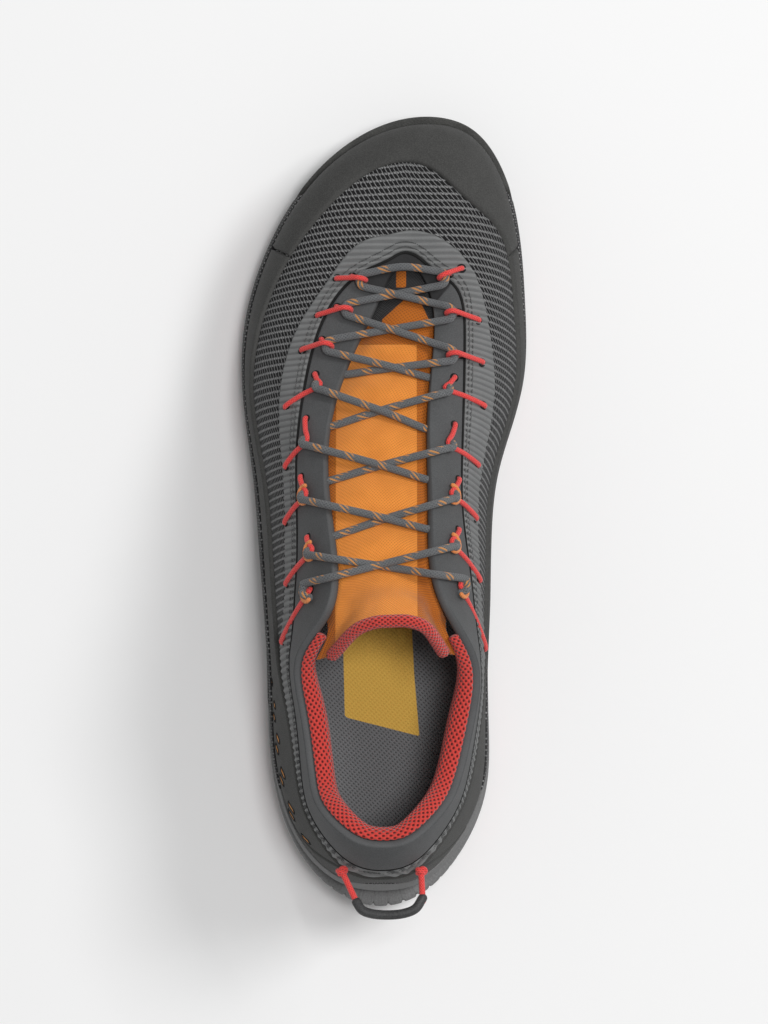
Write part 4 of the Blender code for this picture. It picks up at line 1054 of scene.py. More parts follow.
LACE = BraidedCord("lace cord", "lace_cord", "606264", "3c3e40", roughness=0.82, relief=0.25, flecks=0.95)
LOOP = BraidedCord("red loop cord", "loop_cord", "ea3833", "a31d1a", roughness=0.7, relief=0.14, pitch=1.1)
INNER_LOOP = BraidedCord("orange loop cord", "loop_cord", "e8893f", "a85a1e", roughness=0.7, relief=0.12,
                         pitch=1.0)
PULL = BraidedCord("pull cord", "pull_cord", "ea3833", "a31d1a", roughness=0.7, relief=0.14, pitch=1.1)
SLEEVE = MouldedRubber("pull sleeve", "pull_sleeve", "3b3b3c", "2c2c2d", roughness=0.55, relief=0.05)
STITCH = BraidedCord("seam thread", "band_ribbed", "4c4d4d", "2c2d2d", roughness=0.8, relief=0.05, pitch=0.7)
# Near black: painted shadow round the loops' holes, and the colour of the black seam cord and the vent lips.
HOLE_SHADOW_AND_DARK_TRIM = MouldedRubber("hole edge", "rand_film", "1b1b1b", "101010", roughness=0.9, relief=0.02, light="2a2a2a")
VENT = MouldedRubber("vent inlay", "tongue_fabric", "c8801f", "a8660f", roughness=0.6, relief=0.05,
                     light="e8a44a")


def dress(piece: bpy.types.Object, finish: Finish, *nodes: str) -> bpy.types.Object:
    """Finish a piece and seat it in the frame.

    Args:
        piece: The piece, in place.
        finish: Its finish.
        nodes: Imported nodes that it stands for.

    Returns:
        The piece.
    """
    piece.data.materials.clear()
    piece.data.materials.append(finish.material())
    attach(piece, "root")
    if nodes:
        piece.name = f"{nodes[0]}_dressed"
        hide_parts(*nodes)
    LOG.info("%s: %d points, %s", piece.name, len(piece.data.vertices), finish.name)
    return piece


def through_rows(controls: np.ndarray, steps: Sequence[int]) -> np.ndarray:
    """Run smooth columns through control rows.

    Args:
        controls: Rows of points.
        steps: Rows to put in each gap between them.

    Returns:
        The finer rows, with the control rows among them.
    """
    padded = np.concatenate([controls[:1], controls, controls[-1:]])
    rows = []
    for gap, count in enumerate(steps):
        a, b, c, d = padded[gap:gap + 4]
        rows += [bend(a, b, c, d, t) for t in np.linspace(0, 1, count, endpoint=False)]
    return np.array([*rows, controls[-1]])


def run_down(rows: np.ndarray) -> np.ndarray:
    """Distance from the first row along each column."""
    steps = np.linalg.norm(np.diff(rows, axis=0), axis=-1)
    return np.concatenate([np.zeros((1, rows.shape[1])), np.cumsum(steps, axis=0)])


def wrapped(values: np.ndarray, last: np.ndarray | float) -> np.ndarray:
    """Add the column at which a closed sheet meets itself."""
    last = np.broadcast_to(last, values.shape[0])
    return np.concatenate([values, last[:, None]], axis=1)


@dataclass
class SoleUnit:
    """Outsole with lugs and toe bumper, red foam layer and stepped midsole."""

    last: Last
    stripe_thick: float = 1.9
    rim_thick: float = 1.9
    core_inset: float = 4.0
    gap: float = 0.3
    bumper: tuple[float, float] = (258.4, 264.4)
    stripe_ends: tuple[float, float] = (247.0, 259.5)
    side_profile: tuple[tuple[float, ...], ...] = (
        (0.00, 0.03, 0.00, 0.20, 0.00, 0.25),
        (0.18, 0.00, 0.25, 0.00, 0.22, 0.05),
        (0.36, 0.04, 0.54, 0.15, 0.45, 0.00),
        (0.44, 0.86, 0.63, 0.95, 0.62, 0.15),
        (0.64, 0.64, 0.78, 0.60, 0.80, 0.45),
    )
    knurl_line: tuple[tuple[float, float], ...] = (
        (20, 54), (46.9, 36.3), (61.5, 30.2), (76.7, 24.8), (98.6, 18.7), (108, 12.0), (300, 8.0),
    )
    groove_pitch: float = 5.7
    groove_reach: float = 112.0
    groove_depth: float = 1.1
    groove_width: float = 0.42
    tread: tuple[tuple[float, float, int, int, float, float], ...] = (
        (38.0, 99.0, 4, 4, 13.0, 12.0), (170.0, 234.0, 6, 4, 8.0, 14.0),
    )
    lug_inset: float = 8.5
    lug_cut: float = 0.26
    heel_station: float = 5.75
    stations: np.ndarray = field(init=False)

    def __post_init__(self) -> None:
        """Space the columns: close together round the heel, wider ahead of it."""
        whole = self.last.count
        turns = (0, self.heel_station, self.last.toe_station, whole - self.heel_station, whole)
        parts = [self.spaced(first, last, count)[:-1]
                 for first, last, count in zip(turns, turns[1:], (270, 170, 170, 270))]
        self.stations = np.concatenate(parts)
        self.s = self.last.section(self.stations)[:, 0]

    def spaced(self, first: float, last: float, count: int) -> np.ndarray:
        """A set number of stations, evenly spaced round the outline."""
        ends = self.last.along(np.array([first, last]))
        return np.interp(np.linspace(*ends, count), self.last.run, self.last.fine)

    def level(self, inset: np.ndarray | float, column: str, lift: np.ndarray | float = 0.0) -> np.ndarray:
        """Ring inside the outline, lifted off one of the side profile's heights."""
        plan, _ = self.last.outline(self.stations, inset)
        z = self.last.height(column, plan[:, 0]) + lift
        return np.concatenate([plan, z[:, None]], axis=-1)

    def tuck(self, share: float) -> np.ndarray:
        """How far the midsole's side steps in behind the toe bumper, from 0 to 1."""
        return ramp(self.s - 5.0 * share, self.bumper[0] - 1.0, self.bumper[0] + 1.6)

    def rim(self) -> np.ndarray:
        """Ring along the midsole's upper edge, outside."""
        thick = self.rim_thick - 1.1 * self.tuck(1.0)
        return self.last.shell(self.stations, self.last.edge_share(self.stations), 0.35 + thick)

    def side_ring(self, row: int, rim: np.ndarray) -> np.ndarray:
        """One control ring of the midsole's side.

        Args:
            row: The ring's number, from the foot of the side.
            rim: Ring along the upper edge.

        Returns:
            The ring's points.
        """
        edge = self.last.height("edge", self.s)
        plan, outward = self.last.outline(self.stations)
        rim_in = ((plan - rim[:, :2]) * outward).sum(axis=-1)
        back_h, back_in, heel_h, heel_in, fore_h, fore_in = self.side_profile[row]
        back = 1 - ramp(self.s, 2.0, 26.0)
        heel = (1 - ramp(self.s, 75.0, 100.0)) * (1 - back)
        fore = 1 - back - heel
        share = back * back_h + heel * heel_h + fore * fore_h
        inset = rim_in * (back * back_in + heel * heel_in + fore * fore_in)
        inset += (self.last.section(self.stations)[:, 2] - 1.2 - inset) * self.tuck(row / 5)
        plan, _ = self.last.outline(self.stations, inset)
        foot = self.last.height("stripe", plan[:, 0]) + self.stripe_thick / 2 + 0.05
        return np.concatenate([plan, (foot + (edge - foot) * share)[:, None]], axis=-1)

    def midsole(self) -> bpy.types.Object:
        """Foam cup with its stepped side, cut ribs round the heel and an edge round the upper."""
        rim = self.rim()
        share = self.last.edge_share(self.stations)
        controls = [self.level(self.core_inset, "stripe", self.stripe_thick / 2)]
        controls += [self.side_ring(row, rim) for row in range(len(self.side_profile))]
        lip = self.last.shell(self.stations, share, 0.35 + self.rim_thick * 0.45) + [0, 0, 0.35]
        controls += [rim, lip, self.last.shell(self.stations, share, -0.2),
                     self.last.shell(self.stations, share * 0.6, -0.4)]
        rows = through_rows(np.array(controls), (3, 9, 9, 8, 9, 9, 4, 3, 2))
        run = self.last.along(self.stations)
        _, outward = self.last.outline(self.stations)
        above = rows[..., 2] - self.last.height("stripe", self.s)
        cuts = self.ribs(run, above)
        rows[..., :2] -= outward * cuts[..., None]
        line = np.array(self.knurl_line)
        zone = (rows[..., 2] - np.interp(rows[..., 0], line[:, 0], line[:, 1])) * 0.9
        cloth = np.stack([wrapped(np.broadcast_to(run, above.shape), self.last.run[-1]),
                          wrapped(rows[..., 2], rows[:, 0, 2])], axis=-1)
        fields = {ZONE: zone, CUT: cuts}
        made = Sheet(rows, cloth, closed=True, fields=fields).piece("midsole", rows - HEART)
        return dress(made, FOAM, "midsole")

    def ribs(self, run: np.ndarray, above: np.ndarray) -> np.ndarray:
        """Depth of the slanted cuts round the heel.

        Args:
            run: Distance round the outline at each column.
            above: Height over the red layer at each point.

        Returns:
            How far each point moves in.
        """
        whole = self.last.run[-1]
        away = np.minimum(run, whole - run)
        lean = 0.42 * ramp(away, 8.0, 42.0)
        level = away + lean * (above - 8.0)
        off = np.abs((level / self.groove_pitch) % 1.0 - 0.5) * self.groove_pitch
        top = 15.2 + 1.5 * ramp(away, 80, 104)
        deep = ramp(above, 3.2, 6.0) * (1 - ramp(above, top - 2.5, top))
        deep *= 1 - ramp(away, self.groove_reach - 6, self.groove_reach)
        return self.groove_depth * deep * np.exp(-(off / self.groove_width) ** 2)

    def stripe(self) -> bpy.types.Object:
        """Red layer between midsole and outsole, thinning out at the toe bumper."""
        half = self.stripe_thick / 2 * (1 - 0.85 * ramp(self.s, *self.stripe_ends))
        back = 2.8 * ramp(self.s, self.stripe_ends[1] - 0.5, self.stripe_ends[1] + 2)
        section = ((3.0, -1.0), (0.35, -1.0), (0.02, -0.82), (-0.12, -0.4),
                   (-0.12, 0.4), (0.02, 0.82), (0.35, 1.0), (3.0, 1.0))
        rows = np.array([self.level(inset + back, "stripe", half * lift) for inset, lift in section])
        made = Sheet(rows, closed=True).piece("sole_stripe", rows - HEART)
        return dress(made, STRIPE, "sole_stripe")

    def outsole(self) -> bpy.types.Object:
        """Rubber base with a bumper up the toe, and its lugs."""
        s = self.s
        front, under = ramp(s, *self.bumper), -self.stripe_thick / 2 - 0.05
        linear = np.clip((s - self.bumper[0]) / (self.bumper[1] - self.bumper[0]), 0, 1)
        rise = (self.last.height("edge", s) - self.last.height("stripe", s) - under) * linear + under
        thin = self.last.section(self.stations)[:, 2] - 1.3
        thick = self.last.height("stripe", s) + rise - self.last.height("base", s)
        rows = np.array([
            self.level(3.0, "base"), self.level(1.2, "base", 0.05),
            self.level(0.45, "base", np.minimum(0.35, thick * 0.15)),
            self.level(0.1, "base", np.minimum(1.3, thick * 0.4)),
            self.level(0.35 * front, "stripe", (rise - under) * 0.45 + under - 0.8 * (1 - front)),
            self.level(0.0, "stripe", rise - np.minimum(0.8, thick * 0.25)),
            self.level(0.12, "stripe", rise - 0.22), self.level(0.5, "stripe", rise),
            self.level(1.1 + (thin - 0.8) * front * 0.6, "stripe", rise),
            self.level(2.4 * (1 - front) + thin * front, "stripe", rise - 0.4 * front),
        ])
        rows = through_rows(rows, (1, 1, 2, 4, 6, 2, 2, 2, 1))
        base = Sheet(rows, closed=True).piece("outsole", rows - HEART)
        return dress(join("outsole", [base, self.underside(), *self.lugs()]), RUBBER, "outsole")

    def underside(self) -> bpy.types.Object:
        """Face between the lugs, from one side of the foot to the other."""
        ring = self.level(2.8, "base")[:, :2]
        half = len(ring) // 2
        outer, inner = ring[:half + 1:3], np.concatenate([ring[:1], ring[:half - 1:-1]])[::3]
        across = np.linspace(0, 1, 22)[:, None, None]
        count = min(len(outer), len(inner))
        plan = outer[:count] * (1 - across) + inner[:count] * across
        hollow = 1.1 * (1 - np.abs(2 * across[..., 0] - 1) ** 4)
        s = plan[..., 0]
        z = self.last.height("base", s) + hollow * ramp(s, 108, 118) * (1 - ramp(s, 150, 166))
        rows = np.concatenate([plan, z[..., None]], axis=-1)
        return Sheet(rows).piece("underside", np.broadcast_to(DOWN, rows.shape))

    def width_at(self, s: float, inward: float) -> tuple[float, float]:
        """The outline's outer and inner side at a place along the foot."""
        outer, inner = np.arange(1.0, 14.0, 0.1), np.arange(27.0, 14.0, -0.1)
        plans = [self.last.outline(side, inward)[0] for side in (outer, inner)]
        return tuple(float(np.interp(s, plan[:, 0], plan[:, 1])) for plan in plans)

    def lugs(self) -> list[bpy.types.Object]:
        """Cut-cornered blocks under heel and forefoot, each with a sipe across its face."""
        made = []
        for first, last, count, across, long, wide in self.tread:
            for step in range(count):
                s = first + (last - first) * step / (count - 1)
                low, high = self.width_at(s, self.lug_inset)
                for column in range(across):
                    m = low + (high - low) * column / (across - 1)
                    lean = (8 if column in (0, 2) else -8) * (1 if long < wide else 0.6)
                    made.append(self.lug(s, m, long, wide, lean))
        return made

    def lug(self, s: float, m: float, long: float, wide: float, lean: float) -> bpy.types.Object:
        """One lug: a tapering body with two pads on its face.

        Args:
            s: Its middle along the foot.
            m: Its middle across the foot.
            long: Its length along the foot.
            wide: Its width.
            lean: Turn in degrees, seen from below.

        Returns:
            A mesh to be taken up into the outsole.
        """
        angle = math.radians(lean)
        turn = np.array([[math.cos(angle), -math.sin(angle)], [math.sin(angle), math.cos(angle)]])
        lug = bmesh.new()

        def block(half_s: float, half_m: float, shift: float, levels: Sequence[tuple[float, float]]) -> None:
            """Stack cut-cornered rings and close both ends."""
            short = 1 - self.lug_cut
            corners = ((1, -short), (1, short), (short, 1), (-short, 1),
                       (-1, short), (-1, -short), (-short, -1), (short, -1))
            ring = np.array(corners) * [half_s, half_m]
            rings = []
            for grow, lift in levels:
                plan = (ring * (1 + grow) + [shift, 0]) @ turn.T + [s, m]
                ground = self.last.height("ground", plan[:, 0])
                z = ground + lift if lift < 3 else self.last.height("base", plan[:, 0]) + 0.6
                rings.append([lug.verts.new(p) for p in place(np.column_stack([plan, z]))])
            for low, high in zip(rings, rings[1:]):
                for k in range(8):
                    lug.faces.new((low[k], low[(k + 1) % 8], high[(k + 1) % 8], high[k]))
            lug.faces.new(rings[0][::-1])
            lug.faces.new(rings[-1])

        half, pad = long / 2, long / 4 - 0.35
        block(half * 0.98, wide / 2 * 0.98, 0.0, ((-0.04, 1.0), (0.0, 1.3), (0.06, 9.0)))
        for sign in (-1, 1):
            block(pad, wide / 2 * 0.96, sign * (pad + 0.35), ((-0.07, 0.0), (0.0, 0.35), (0.02, 1.4)))
        bmesh.ops.recalc_face_normals(lug, faces=lug.faces)
        mesh = bpy.data.meshes.new("lug")
        lug.to_mesh(mesh)
        lug.free()
        return stand("lug", mesh)


@dataclass
class Footbed:
    """Loose insole in the shoe."""

    last: Last
    thick: float = 4.0
    inset: float = 2.9
    patch: tuple[tuple[float, float], ...] = (
        (69.2, -14.2), (62.2, 13.2), (85.0, 11.3), (122.0, 9.5), (122.0, -16.0), (91.0, -14.7),
    )

    def insole(self) -> bpy.types.Object:
        """Thin cushion with a rounded edge and a slight dish under the heel."""
        half = np.linspace(0.0, self.last.toe_station, 260)
        outer, inner = (self.last.outline(side, self.last.section(side)[:, 2] + self.inset)[0]
                        for side in (half, self.last.count - half))
        across = np.concatenate([[0, 0.0], np.linspace(0, 1, 90), [1.0, 1]])[:, None]
        plan = outer * (1 - across[..., None]) + inner * across[..., None]
        width = np.linalg.norm(outer - inner, axis=-1)
        edge = np.minimum(across, 1 - across) * width
        ends = np.minimum(np.linspace(0, 1, 260), np.linspace(1, 0, 260))[None] * 290
        edge = np.minimum(edge, ends)
        z = self.last.height("bed", plan[..., 0]) + self.thick - 1.0 * (1 - ramp(edge, 0, 1.6))
        z += 1.6 * (1 - ramp(edge, 0.5, 14.0)) * ramp(edge, 0.0, 1.0)
        z[0], z[-1] = z[0] - 2.2, z[-1] - 2.2
        rows = np.concatenate([plan, z[..., None]], axis=-1)
        fields = {ZONE: inside_polygon(plan[..., 0], plan[..., 1], self.patch)}
        made = Sheet(rows, plan[..., ::-1], fields=fields).piece("insole", np.broadcast_to(UP, rows.shape))
        return dress(made, FOOTBED, "insole")


@dataclass
class Upper:
    """Open mesh upper with its bonded overlays, seams, stitches and vents."""

    last: Last
    wall: float = 2.0
    rib_pitch: float = 2.3
    rib_height: float = 0.33
    toe_cap: tuple[float, float] = (11.15, 17.2)
    cap_joint: float = 0.012
    counter: tuple[float, float] = (2.55, 1.15)
    counter_joint: float = 0.03
    rand_thick: float = 1.2
    counter_thick: float = 1.4
    band_thick: float = 0.9
    panel_thick: float = 1.0
    facing_thick: float = 0.45
    panel_ends: tuple[float, float] = (16.6, 11.4)
    vents: tuple[tuple[float, float, float], ...] = (
        (82.4, 45.7, 3.6), (74.5, 49.3, 3.9), (70.1, 46.3, 4.8), (62.0, 51.3, 5.2), (58.6, 47.3, 5.8),
        (50.0, 53.5, 6.2), (47.0, 48.5, 6.4), (37.8, 55.9, 6.8), (34.6, 50.8, 7.0), (26.7, 57.7, 7.2),
    )
    vent_width: float = 1.9
    lip_steps: tuple[tuple[float, float], ...] = (
        (1.26, -0.5), (1.22, 0.12), (1.12, 0.3), (1.0, 0.28), (0.96, 0.0),
    )
    inlay_steps: tuple[tuple[float, float], ...] = ((1.0, 0.06), (0.7, 0.14), (0.05, 0.16))

    def knit_cloth(self, rows: np.ndarray) -> np.ndarray:
        """Distances across and along the knit, whose rows lean back towards the sole.

        Args:
            rows: Points on the upper.

        Returns:
            The two distances at each point.
        """
        s, m, z = rows[..., 0], rows[..., 1], rows[..., 2]
        side = np.tanh((m - 8.0) / 9.0)
        outer_lean, inner_lean = 0.14 + 0.16 * ramp(s, 200, 240), 0.4 - 0.15 * ramp(s, 200, 250)
        lean = np.where(side < 0, outer_lean, inner_lean) * np.abs(side)
        return np.stack([(m - 8.0) + side * (55.0 - z) * 0.9, s - lean * (z - 55.0)], axis=-1)

    def body(self) -> bpy.types.Object:
        """The hollow shell: open knit outside, a rolled rim, and the lining cloth inside."""
        stations = self.last.even_stations(0.0, self.last.count, 1.3)[:-1]
        shares = np.concatenate([np.linspace(0, 0.97, 74), [0.985, 0.995]])
        outer = np.array([self.last.shell(stations, w * np.ones_like(stations), 0.0) for w in shares])
        top, away, up = self.last.top_line(stations)
        rim = [top - away * self.wall / 2 * (1 - math.cos(a)) + up * self.wall * 0.3 * math.sin(a)
               for a in np.linspace(0, math.pi, 7)]
        inner = np.array([self.last.shell(stations, w * np.ones_like(stations), -self.wall)
                          for w in np.linspace(0.97, 0.0, 30)])
        rows = np.concatenate([outer, np.array(rim), inner])
        cloth = self.knit_cloth(rows)
        cloth = np.concatenate([cloth, cloth[:, :1]], axis=1)
        outward = np.concatenate([outer - HEART, rim - top, HEART - inner])
        piece = dress(Sheet(rows, cloth, closed=True).piece("upper", outward), MESH, "upper")
        piece.data.materials.append(INSIDE.material())
        inside = np.arange(len(piece.data.polygons)) // len(stations) >= len(outer) + 2
        piece.data.polygons.foreach_set("material_index", inside.astype(np.int32))
        return piece

    def overlay(self, name: str, first: Callable, last: Callable, low: Callable, high: Callable, thick: float,
                size: tuple[int, int], relief: Callable | None = None, shade: Callable | None = None,
                closed: bool = False, free_top: bool = False) -> bpy.types.Object:
        """Make a layer that lies on the upper, with rounded edges let into it.

        Args:
            name: The piece's name.
            first: Station of its first edge at each share of its height.
            last: Station of its last edge at each share of its height.
            low: Share of the wall at its lower edge, by station.
            high: Share of the wall at its upper edge, by station.
            thick: Its thickness.
            size: Points across and along it.
            relief: Height to add, from its points and the distance to its edge.
            shade: Value from -1, low, to 1, high, from its points, with which its finish paints shade into
                the low places.
            closed: Whether it runs all round the shoe.
            free_top: Whether its upper edge folds over the top line.

        Returns:
            The piece, not yet finished.
        """
        across, along = size
        fine = np.array([0, 0.004, 0.012, 0.025, 0.045])
        b = np.unique(np.concatenate([fine, np.linspace(0.07, 0.93, across), 1 - fine]))[:, None]
        a = np.linspace(0, 1, along, endpoint=not closed)
        if not closed:
            a = np.unique(np.concatenate([fine * 0.15, a, 1 - fine * 0.15]))
        ends = self.last.along(np.array([first(0.5), last(0.5)]))
        middle = self.last.stations_at(np.linspace(*ends, 600))
        even = np.interp(a, np.linspace(0, 1, 600), (middle - middle[0]) / (middle[-1] - middle[0]))
        u = first(b) + (last(b) - first(b)) * even
        w = low(u) + (high(u) - low(u)) * b
        flat = self.last.girth(u, w)
        up = run_down(flat)
        down = up[-1:] - up
        side = np.linalg.norm(np.diff(flat, axis=1, append=flat[:, -1:]), axis=-1)
        run = np.cumsum(side, axis=1) - side
        edge = np.minimum(up, 9.0 if free_top else down)
        if not closed:
            edge = np.minimum(edge, np.minimum(run, run[:, -1:] - run))
        t = np.clip(edge / max(thick, 0.7), 0, 1)
        out = -0.25 + (thick + 0.6) * np.sqrt(1 - (1 - t) ** 2)
        if relief is not None:
            out = out + relief(flat, edge)
        rows = self.last.shell(u, w, out)
        beside = self.last.along(u)
        if free_top:
            rolled = self.rolled_edge(u[-1], thick)
            rows = np.concatenate([rows, rolled])
            edge = np.concatenate([edge, np.full(rolled.shape[:2], 0.2)])
            beside = np.concatenate([beside, np.broadcast_to(beside[-1], rolled.shape[:2])])
        cloth = np.stack([beside, run_down(rows)], axis=-1)
        if closed:
            cloth = np.concatenate([cloth, cloth[:, :1] + [self.last.run[-1], 0]], axis=1)
        fields = {EDGE: edge} if shade is None else {EDGE: edge, RIB: shade(flat)}
        return Sheet(rows, cloth, closed, fields).piece(name, rows - HEART)

    def rolled_edge(self, stations: np.ndarray, thick: float) -> np.ndarray:
        """Rows that carry a layer over the top line and down inside it."""
        top, away, up = self.last.top_line(stations)
        proud = thick + 0.35
        turns = ((0.7 * proud, 0.35), (0.2 * proud, 0.7), (-1.0, 0.8), (-2.0, 0.35), (-2.3, -0.8))
        return np.array([top + away * out + up * lift for out, lift in turns])

    def low_edge(self, u: np.ndarray) -> np.ndarray:
        """Share at which the midsole's edge covers the rands."""
        return self.last.edge_share(u) - 0.012

    def rand_edge(self, u: np.ndarray) -> np.ndarray:
        """Share at which the rands end."""
        return self.last.seam("rand", u)

    def panel_edge(self, u: np.ndarray) -> np.ndarray:
        """Share at which the ribbed band ends and the smooth panel starts."""
        return self.last.seam("panel", u)

    def counter_at(self, b: np.ndarray | float) -> np.ndarray:
        """Station of the counter's slanted edge at a share of its height."""
        low, high = self.counter
        return low + (high - low) * np.asarray(b, float)

    def rands(self) -> list[bpy.types.Object]:
        """Toe cap, both rands and the heel counter."""
        cap_outer, cap_inner = self.toe_cap
        pieces = []
        for name, first, last, size in (
                ("toe_cap", steady(cap_outer), steady(cap_inner), (26, 260)),
                ("rand_outer", self.counter_at, steady(cap_outer - self.cap_joint), (30, 300)),
                ("rand_inner", steady(cap_inner + self.cap_joint),
                 lambda share: self.last.count - self.counter_at(share), (30, 300))):
            made = self.overlay(name, first, last, self.low_edge, self.rand_edge, self.rand_thick, size)
            pieces.append(dress(made, RAND, name))
        made = self.overlay("heel_counter", lambda share: self.counter_joint - self.counter_at(share),
                            lambda share: self.counter_at(share) - self.counter_joint,
                            self.low_edge, self.rand_edge, self.counter_thick, (30, 120))
        return [*pieces, dress(made, COUNTER, "heel_counter")]

    def ribbed_band(self) -> bpy.types.Object:
        """Layer round the throat and collar with fine ribs that fade towards its seam, and painted shade in
        the troughs between them.
        """
        def ribs(points: np.ndarray, edge: np.ndarray) -> np.ndarray:
            """Rib height over the wall."""
            level = self.knit_cloth(points)[..., 1]
            fade = ramp(edge, 0.2, 1.2)
            return self.rib_height * np.cos(2 * math.pi * level / self.rib_pitch) * fade

        def shade(points: np.ndarray) -> np.ndarray:
            """How deep each point lies between two ribs, which sets the painted shade in the troughs."""
            return np.cos(2 * math.pi * self.knit_cloth(points)[..., 1] / self.rib_pitch)

        made = self.overlay("ribbed_band", steady(0.0), steady(self.last.count),
                            lambda u: self.last.seam("band", u), self.panel_edge, self.band_thick, (26, 1700),
                            relief=ribs, shade=shade, closed=True)
        return dress(made, BAND, "ribbed_band")

    def collar_panel(self) -> bpy.types.Object:
        """Smooth panel along throat and collar, rolled over the top line."""
        first, last = self.panel_ends
        made = self.overlay("collar_panel", steady(first - self.last.count), steady(last),
                            lambda u: self.panel_edge(u) + 0.006, np.ones_like, self.panel_thick, (26, 620),
                            free_top=True)
        return dress(made, PANEL, "collar_panel")

    def throat_facing(self) -> bpy.types.Object:
        """Dark facing round the toe end of the throat, between the ends of the smooth panel."""
        first, last = self.panel_ends
        made = self.overlay("throat_facing", steady(last - 0.1), steady(first + 0.1),
                            lambda u: self.panel_edge(u) + 0.002, np.ones_like, self.facing_thick, (16, 160),
                            free_top=True)
        return dress(made, FACING)

    def seam_line(self) -> bpy.types.Object:
        """Black cord in the seam between the ribbed band and the smooth panel."""
        stations = self.last.even_stations(0.0, self.last.count, 1.2)
        path = self.last.shell(stations, self.panel_edge(stations) + 0.004, 0.95)
        return dress(cord("seam_black_cord", path, 0.52, 8), HOLE_SHADOW_AND_DARK_TRIM)

    def seam_stitches(self) -> bpy.types.Object:
        """Two rows of stitches on the band beside the smooth panel."""
        stations = self.last.even_stations(0.0, self.last.count, 2.6)
        share, parts = self.panel_edge(stations), []
        rise = self.last.girth(stations, share) - self.last.girth(stations, share - 0.05)
        tall = np.linalg.norm(rise, axis=-1)
        for away in (1.7, 3.5):
            w = share - 0.05 * away / tall
            for k in range(len(stations) - 1):
                part = np.linspace(0.16, 0.84, 5)
                u = stations[k] + (stations[k + 1] - stations[k]) * part
                lift = 1.16 + 0.22 * np.sin(np.pi * np.linspace(0.05, 0.95, 5))
                parts.append(self.last.shell(u, w[k] + (w[k + 1] - w[k]) * part, lift))
        return dress(threads("seam_stitches", parts, 0.3), STITCH)

    def vent_slots(self) -> list[bpy.types.Object]:
        """Slanted slots on the outer rand, each a raised lip round an orange inlay."""
        u, w = self.outer_wall()
        points = self.last.girth(u, w)
        turn = np.linspace(0, 2 * math.pi, 28, endpoint=False)
        lips, inlays = [], []
        for s, z, long in self.vents:
            at = np.unravel_index(np.argmin((points[..., 0] - s) ** 2 + (points[..., 2] - z) ** 2), u.shape)
            middle, out = self.last.shell(u[at], w[at], 1.55), self.last.away(u[at], w[at])
            along = np.array([-0.5, 0.0, 0.87])
            along -= out * along.dot(out)
            along /= np.linalg.norm(along)
            across = np.cross(out, along)
            half = self.vent_width / 2
            straight = np.sign(np.cos(turn)) * (long / 2 - half)
            loop = (np.cos(turn) * half + straight)[:, None] * along + np.sin(turn)[:, None] * half * across
            both = ((lips, self.lip_steps, loop), (inlays, self.inlay_steps, (0.0, -1.0, 0.3)))
            for made, steps, outward in both:
                ring = np.array([middle + loop * grow + out * lift for grow, lift in steps])
                made.append(Sheet(ring, closed=True).piece("vent", np.broadcast_to(outward, ring.shape)))
        return [dress(join("vent_lips", lips), HOLE_SHADOW_AND_DARK_TRIM), dress(join("vent_inlays", inlays), VENT)]

    def outer_wall(self) -> tuple[np.ndarray, np.ndarray]:
        """Stations and shares that cover the outer side of the wall closely."""
        return np.meshgrid(np.linspace(0.2, self.last.toe_station - 0.2, 600), np.linspace(0.05, 0.99, 220))


def threads(name: str, runs: Sequence[np.ndarray], radius: float) -> bpy.types.Object:
    """Make many short threads as one mesh.

    Args:
        name: The piece's name.
        runs: Points along each thread.
        radius: The thread's radius.

    Returns:
        The piece.
    """
    points, faces, cloth, start = [], [], [], 0
    for run in runs:
        rows, texture = cord_rows(np.asarray(run), radius, 6)
        count, around = rows.shape[:2]
        points.append(rows.reshape(-1, 3))
        for row in range(count - 1):
            for k in range(around):
                beside = (k + 1) % around
                low, high = start + row * around, start + (row + 1) * around
                faces.append((low + k, high + k, high + beside, low + beside))
                cloth += [texture[row, k], texture[row + 1, k], texture[row + 1, k + 1], texture[row, k + 1]]
        start += count * around
    mesh = bpy.data.meshes.new(name)
    mesh.from_pydata(place(np.concatenate(points)).tolist(), [], faces)
    made = mesh.attributes.new(CLOTH, "FLOAT_VECTOR", "CORNER")
    flat = np.column_stack([np.array(cloth), np.zeros(len(cloth))])
    made.data.foreach_set("vector", flat.astype(np.float32).ravel())
    mesh.polygons.foreach_set("use_smooth", np.ones(len(mesh.polygons), bool))
    mesh.update()
    return stand(name, mesh)


